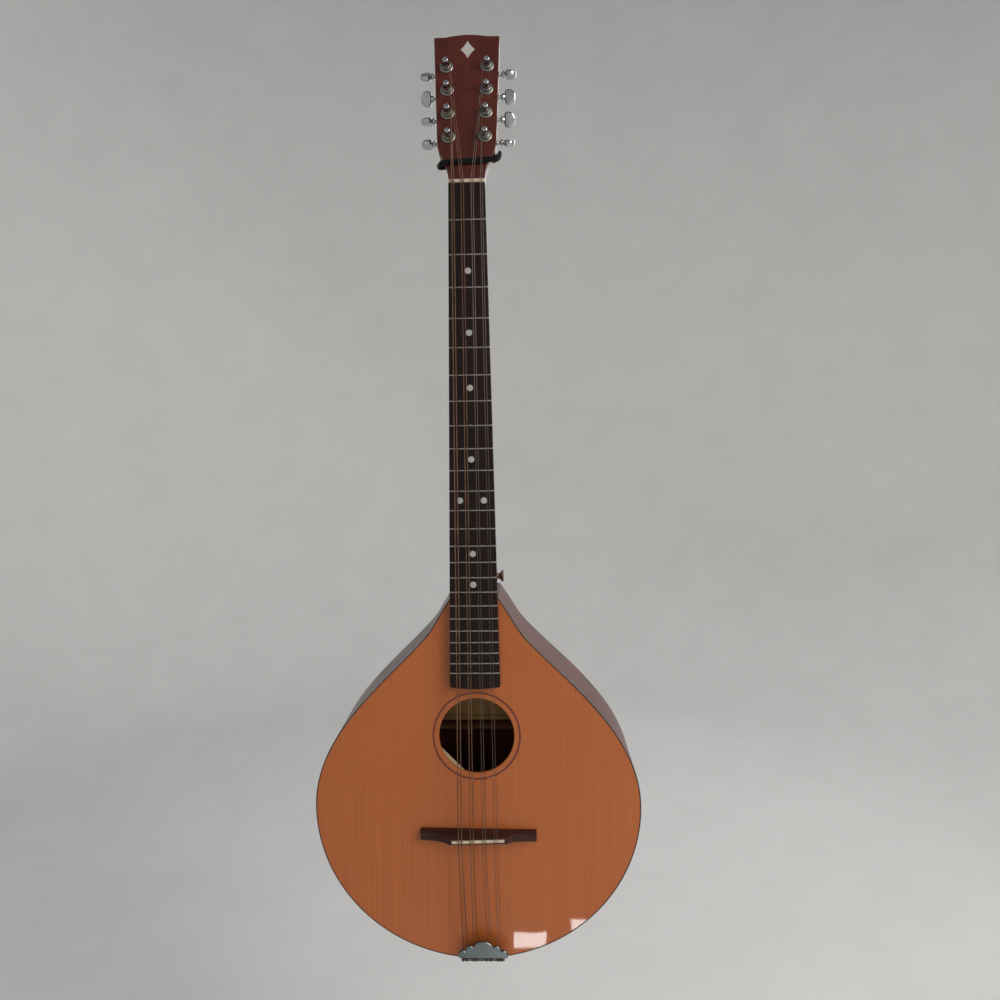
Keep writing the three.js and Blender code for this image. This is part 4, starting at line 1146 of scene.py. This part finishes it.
def post(name, place):
    gear = HEAD_THICKNESS + 2.4
    turned = (
        (0, -12.6), (2.3, -12.6), (POST_RADIUS, -12.0), (POST_RADIUS, -8.6), (2.35, -7.6), (2.35, -5.4),
        (POST_RADIUS, -4.4), (POST_RADIUS, gear), (3.6, gear), (3.6, gear + 6.6), (0, gear + 6.6))
    shape = Shape().lathe(turned, 40, place, 0.35, 3)
    piece = shape.make(name + "_capstan", CHROME, "chrome", name + "_post", [name + "_post"])
    hole = Shape().tube([Vector((-6, -6.5, 0)), Vector((0, -6.5, 0)), Vector((6, -6.5, 0))], 0.8, 16, place)
    combine(piece, hole)
    dimple = Shape().lathe([(0, -13), (1.0, -13), (0.5, -12.1), (0, -12.1)], 20, place, 0.1, 2)
    combine(piece, dimple)
    smooth_over(piece)


def knob(name, sign, place, turn):
    """The worm shaft with its collars and the half-round button on its end."""
    shaft = place @ Matrix.Translation((0, WORM_Y, WORM_OFFSET))
    if sign < 0:
        shaft = shaft @ Matrix.Diagonal((-1, 1, 1, 1))
    shaft = shaft @ Matrix.Rotation(math.radians(turn), 4, "X")
    along_x = shaft @ Matrix.Rotation(-math.pi / 2, 4, "Z")
    shape = Shape().lathe([
        (0, -5.6), (1.55, -5.6), (1.55, 10.1), (3.3, 10.1), (3.3, 12.4), (2.1, 12.9), (2.1, 14.9),
        (3.7, 15.4), (3.7, 17.2), (2.9, 18.4), (2.4, 21), (0, 21)], 32, along_x, 0.4, 3)
    wing = [Vector((18, -2.8))]
    wing += quadratic(wing[-1], (18.2, -7.4), (20.8, -8.0), 6)
    wing += bezier(wing[-1], (26, -8.9), (30, -5.2), (30, 0), 10)
    wing += bezier(wing[-1], (30, 5.2), (26, 8.9), (20.8, 8.0), 10)
    wing += quadratic(wing[-1], (18.2, 7.4), (18, 2.8), 6)
    rings = []
    steps = 12
    for i in range(steps + 1):
        a = math.pi * i / steps - math.pi / 2
        depth = 2.4 * (1 - max(math.cos(a), 0) ** 0.8)
        height = 3.1 * math.copysign(abs(math.sin(a)) ** 0.85, math.sin(a))
        rings.append([Vector((p.x, p.y, height)) for p in inset(wing, depth)])
    inner = inset(wing, 3.4)
    rings.insert(0, [Vector((p.x, p.y, -3.16)) for p in inner])
    rings.append([Vector((p.x, p.y, 3.16)) for p in inner])
    shape.loft(rings, shaft)
    shape.make(name + "_button", CHROME, "chrome", body=name + "_knob", replaces=[name + "_knob"], sharp=50)


for tuner_name, tuner_sign, tuner_x, tuner_z, tuner_turn in post_places():
    tuner_place = HEAD @ Matrix.Translation((tuner_x, 0, tuner_z))
    housing(tuner_name, tuner_sign, tuner_place)
    bushing(tuner_name, tuner_place)
    post(tuner_name, tuner_place)
    knob(tuner_name, tuner_sign, tuner_place, tuner_turn)

# ---------- bridge and tailpiece ----------

BRIDGE_FRAME = Matrix.Translation(BRIDGE_PLACE) @ Matrix.Rotation(BRIDGE_SLANT, 4, "Y")


def bridge_heights():
    """(x, height) along the bridge: thin wings that scoop up to a tall middle."""
    wing_end = Vector((CREST_END_X, BRIDGE_HEIGHT - 1.5))
    line = [Vector((BRIDGE_HALF_LENGTH, BRIDGE_WING - 0.5)), Vector((BRIDGE_HALF_LENGTH - 0.6, BRIDGE_WING))]
    line += quadratic(line[-1], (36, BRIDGE_WING + 0.5), wing_end, 24)
    line += quadratic(wing_end, (30, BRIDGE_HEIGHT), (28, BRIDGE_HEIGHT), 4)
    line += [Vector((x, BRIDGE_HEIGHT)) for x in (20, 10, 0)]
    right = [(p.x, p.y) for p in line]
    return [(-x, h) for x, h in right[:-1]] + right[::-1]


def bridge():
    rings = []
    upper = BRIDGE_LOWER_Z + BRIDGE_FOOT
    slope = (BRIDGE_FOOT - BRIDGE_CROWN) / BRIDGE_HEIGHT
    stations = bridge_heights()
    for i, (x, height) in enumerate(stations):
        section = vectors(
            (-GLUE_GAP, BRIDGE_LOWER_Z), (-height, BRIDGE_LOWER_Z),
            (-height, upper - slope * height), (-GLUE_GAP, upper))
        section = rounded(section, 0.9, 4)
        if i in (0, len(stations) - 1):
            middle = sum(section, Vector((0, 0))) / len(section)
            section = [middle + (p - middle) * 0.93 for p in section]
        share = clamp((BRIDGE_HALF_LENGTH - abs(x)) / (BRIDGE_HALF_LENGTH - CREST_END_X), 0, 1)
        skew = x * CREST_SKEW * share / BRIDGE_HEIGHT
        rings.append([Vector((x, p.x, p.y + skew * max(-p.x, 0))) for p in section])
    block = Shape().loft(rings, BRIDGE_FRAME)
    piece = block.make("bridge_block", BRIDGE_WOOD, "rosewood", replaces=["bridge"])
    half = SADDLE_THICKNESS / 2
    seat = BRIDGE_FRAME @ Matrix.Translation((0, 0, SADDLE_Z)) @ Matrix.Rotation(SADDLE_SLANT, 4, "Y")
    cutter = Shape().plate(rectangle(SADDLE_HALF_LENGTH + 0.2, half + 0.1), -BRIDGE_HEIGHT - 3, -6.8,
                           0.02, 1, seat)
    combine(piece, cutter)
    smooth_over(piece)
    section = rounded(vectors(
        (-7, -half), (-SADDLE_TOP + 0.7, -half), (-SADDLE_TOP, -0.5), (-SADDLE_TOP, 0.5),
        (-SADDLE_TOP + 0.7, half), (-7, half)), 0.4, 3)
    stations = [(SADDLE_HALF_LENGTH, 0.85), (SADDLE_HALF_LENGTH - 0.3, 0.97), (SADDLE_HALF_LENGTH - 0.8, 1)]
    for x, radius in zip(SADDLE_X, STRING_RADII):
        groove = ((-radius - 0.3, 1), (-radius * 0.6, 0.985), (radius * 0.6, 0.985), (radius + 0.3, 1))
        stations += [(x - BRIDGE_PLACE.x + away, shrink) for away, shrink in groove]
    stations += [(-x, shrink) for x, shrink in stations[:3]]
    stations.sort()
    middle = Vector(((-7 - SADDLE_TOP) / 2, 0))
    rings = [[Vector((x, *(middle + (p - middle) * shrink))) for p in section] for x, shrink in stations]
    Shape().loft(rings, seat).make("saddle_bone", BONE, "bone", replaces=["saddle"])


def tailpiece_outline():
    base = TAILPIECE_BOTTOM
    points = [Vector((-TAILPIECE_HALF_WIDTH + 1.4, base)), Vector((TAILPIECE_HALF_WIDTH - 1.4, base))]
    points += quadratic(points[-1], (TAILPIECE_HALF_WIDTH, base), (TAILPIECE_HALF_WIDTH, base + 3), 5)
    for (x, z), pull in zip(LOBE_JUNCTIONS, LOBE_HANDLES):
        start = points[-1]
        reach = (start.x - x) * LOBE_HANDLE_REACH
        points += bezier(start, (start.x - reach, base + pull), (x + reach, base + pull), (x, base + z), 18)
    points += quadratic(points[-1], (-TAILPIECE_HALF_WIDTH, base), (-TAILPIECE_HALF_WIDTH + 1.4, base),
                        5)[:-1]
    return points


def tailpiece():
    place = Matrix.Translation((TAILPIECE_X, 0, 0))
    under = TAILPIECE_FACE + TAILPIECE_THICKNESS
    outline = tailpiece_outline()
    rings = []
    for distance, depth in ((0.95, 0), (0.7, 0.02), (0.2, 0.5), (0.04, 0.75), (0, 1.0), (0, 2.0), (0.2, 2.2)):
        rings.append([Vector((p.x, TAILPIECE_FACE + depth, p.y)) for p in inset(outline, distance)])
    Shape().loft(rings, place).make("tailpiece_cover", CAST, "satin_metal", replaces=["tailpiece"])
    end = TAIL_Z - TOUCH_GAP
    outer = end - TAILPIECE_THICKNESS
    strap = vectors(
        (TAILPIECE_FACE + 1.2, TAILPIECE_BOTTOM + 3), (under, TAILPIECE_BOTTOM + 3),
        (under, TAILPIECE_BOTTOM - 0.4), (0, end), (STRAP_END_Y, end), (STRAP_END_Y, outer), (-1, outer),
        (TAILPIECE_FACE + 1.2, TAILPIECE_BOTTOM - 1.0))
    strap = rounded(strap, 1.0, 4)
    rings = []
    for x, shrink in ((-1, 0.35), (-0.985, 0.1), (-0.96, 0), (0.96, 0), (0.985, 0.1), (1, 0.35)):
        moved = inset(strap, shrink)
        rings.append([Vector((x * STRAP_HALF_WIDTH, p.x, p.y)) for p in moved])
    # The strap takes the darkened steel instead of the cover's metal: painted shade.
    Shape().loft(rings, place).make("tailpiece_strap", DARK_STEEL_AND_PAINTED_SHADE, "satin_metal")


tailpiece()
bridge()


def string_ends():
    """A ball end in each string's loop, hooked at the tailpiece's lower edge."""
    balls, hooks = Shape(), Shape()
    spool = ((0.7, -1.3), (1.7, -1.3), (1.7, -0.5), (1.35, 0), (1.7, 0.5), (1.7, 1.3), (0.7, 1.3),
             (0.7, -1.3))
    for x, radius in zip(TAIL_X, STRING_RADII):
        hook = Vector((x, TAILPIECE_FACE + 2, TAILPIECE_BOTTOM - 1.6))
        at = Matrix.Translation(hook) @ Matrix.Rotation(math.pi / 2, 4, "Z")
        balls.lathe(spool, 24, at, 0.2, 3)
        path = [hook + Vector((0, -2.0 * math.sin(a), -2.0 * math.cos(a)))
                for a in (math.pi * (i / 12 - 0.15) for i in range(15))]
        hooks.tube(path, 0.35 + radius * 0.3, 10)
    # Painted shade: the brass ball ends are darkened.
    balls.make("string_ball_ends", BRASS_WITH_PAINTED_SHADE)
    # Painted shade: the loops take the darkened steel.
    hooks.make("string_loops", DARK_STEEL_AND_PAINTED_SHADE)


string_ends()

# ---------- fittings ----------


def end_pin():
    plate = TAIL_Z - 2 * TOUCH_GAP - TAILPIECE_THICKNESS
    inside = -plate - 24
    place = Matrix.Translation((0, END_PIN_Y, 0)) @ Matrix.Rotation(-math.pi / 2, 4, "X")
    Shape().lathe([
        (0, inside), (3.0, inside), (3.6, inside + 2), (3.6, -plate), (7, -plate), (7, -plate + 1.5),
        (4.2, -plate + 2.6), (3.9, -plate + 5), (4.4, -plate + 7), (7, -plate + 9), (6.6, -plate + 10.6),
        (0, -plate + 11.6)], 48, place, 0.6, 4).make("end_pin_turned", CHROME, "chrome", replaces=["end_pin"])


def strap_button():
    low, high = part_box("strap_button")
    base = low.x / MM - 0.4
    centre = (low + high) / 2 / MM
    place = Matrix.Translation((base, centre.y, centre.z)) @ Matrix.Rotation(-math.pi / 2, 4, "Z")
    shape = Shape().lathe([
        (0, 0.4), (4.4, 0.4), (4.4, 1.4), (3, 2.4), (2.9, 4.0), (5.9, 6.2), (6.3, 7.4), (5.4, 8.1),
        (3.2, 8.2), (1.2, 7.6), (0, 7.6)], 48, place, 0.5, 4)
    shape.make("strap_button_turned", AGED_NICKEL, "chrome", replaces=["strap_button"])


end_pin()
strap_button()

# ---------- strings ----------


def string_post(i):
    places = post_places()
    return places[i if i < POSTS_PER_SIDE else POSTS_PER_SIDE + len(STRINGS) - 1 - i]


def strings():
    for i, name in enumerate(STRINGS):
        radius = STRING_RADII[i]
        clear = radius + STRING_CLEARANCE
        bass = i < POSTS_PER_SIDE
        post_name, sign, x, z, _ = string_post(i)
        number = int(post_name[-1])
        y = POST_STRING_Y[number - 1]
        inner_x = x - sign * (POST_RADIUS + radius + 0.15)
        off_centre = SADDLE_X[i] - BRIDGE_PLACE.x
        saddle_z = BRIDGE_PLACE.z + SADDLE_Z - off_centre * math.sin(BRIDGE_SLANT + SADDLE_SLANT)
        path = [
            Vector((TAIL_X[i], -7.6, TAILPIECE_BOTTOM + 1.5)), Vector((TAIL_X[i], -8.2, TAILPIECE_TOP + 1)),
            Vector((SADDLE_X[i], -SADDLE_TOP - clear, saddle_z)),
            Vector((NUT_X[i], -NUT_HEIGHT - clear, 0.6)),
            Vector((NUT_X[i] + (-0.1 if bass else 0.1), -NUT_HEIGHT - clear + 0.45, 3.2)),
            HEAD @ Vector((inner_x, y, z))]
        path = rounded(path, 1.2, 4, closed=False)
        material = WOUND if bass else STEEL
        slot = "bronze" if bass else "steel"
        line = Shape().tube(path, radius, 14)
        line.make("string_line_" + name, material, slot, replaces=["string_" + name])
        coil_radius = POST_RADIUS + radius + 0.1
        steps = int(WINDING_TURNS * 28)
        coil = []
        for turns in [WINDING_TURNS * k / steps for k in range(steps + 1)]:
            a = 2 * math.pi * turns
            coil.append(Vector((
                x - sign * coil_radius * math.cos(a), y + WINDING_PITCH * radius * turns,
                z + coil_radius * math.sin(a))))
        inside = coil[-1]
        coil.append(Vector((lerp(inside.x, x, 0.5), inside.y, lerp(inside.z, z, 0.5))))
        Shape().tube(coil, radius, 12, HEAD).make("winding_" + name, material, slot, post_name + "_post")


strings()

# ---------- studio ----------


FLOOR_Z = -1250


def floor():
    """A round floor that curves up into a wall on every side."""
    flat, bend, top, steps = 1700, 700, 3600, 12
    rim = [(0.01, 0), (1300, 0), (flat, 0)]
    for i in range(1, steps + 1):
        a = math.pi / 2 * i / steps
        rim.append((flat + bend * math.sin(a), bend - bend * math.cos(a)))
    rim.append((flat + bend, top))
    mesh = bpy.data.meshes.new("floor")
    sides = 72
    points = [Vector((r * math.cos(a), r * math.sin(a) + 200, z + FLOOR_Z)) * MM
              for r, z in rim for a in angles(sides)]
    faces = []
    for i in range(len(rim) - 1):
        for k in range(sides):
            n = (k + 1) % sides
            faces.append((i * sides + k, i * sides + n, (i + 1) * sides + n, (i + 1) * sides + k))
    mesh.from_pydata(points, [], faces)
    mesh.materials.append(make_floor_paint())
    piece = bpy.data.objects.new("floor", mesh)
    mesh.polygons.foreach_set("use_smooth", [True] * len(mesh.polygons))
    bpy.context.scene.collection.objects.link(piece)


def area_light(name, place, aim, size, power, tint=(1, 1, 1)):
    data = bpy.data.lights.new(name, "AREA")
    data.shape = "RECTANGLE"
    data.size, data.size_y = size
    data.energy = power
    data.color = tint
    light = bpy.data.objects.new(name, data)
    bpy.context.scene.collection.objects.link(light)
    light.location = place
    light.rotation_euler = (Vector(aim) - Vector(place)).to_track_quat("-Z", "Y").to_euler()
    light.visible_camera = False


def studio():
    floor()
    world = bpy.data.worlds.new("studio")
    bpy.context.scene.world = world
    world.use_nodes = True
    sky = world.node_tree.nodes["Background"].inputs
    sky["Color"].default_value = (0.86, 0.88, 0.92, 1)
    sky["Strength"].default_value = 0.22
    area_light("key", (1.6, -1.1, 0.5), (0, 0, -0.5), (1.0, 1.6), 40, (1, 0.97, 0.94))
    area_light("fill", (-1.5, -1.6, 0.3), (0, 0, -0.4), (1.2, 1.2), 2.5, (0.92, 0.95, 1))
    area_light("rear", (0.8, 1.5, 0.6), (0, 0, -0.4), (1.4, 1.4), 10)
    area_light("low_window", (0.05, -0.609, -1.199), (0.05, 0, -0.762), (0.058, 0.024), 0.1)
    area_light("side_window", (0.143, -0.614, -1.175), (0.101, 0, -0.747), (0.036, 0.022), 0.055)
    view = bpy.context.scene.view_settings
    view.view_transform = "Standard"
    view.look = "None"


studio()
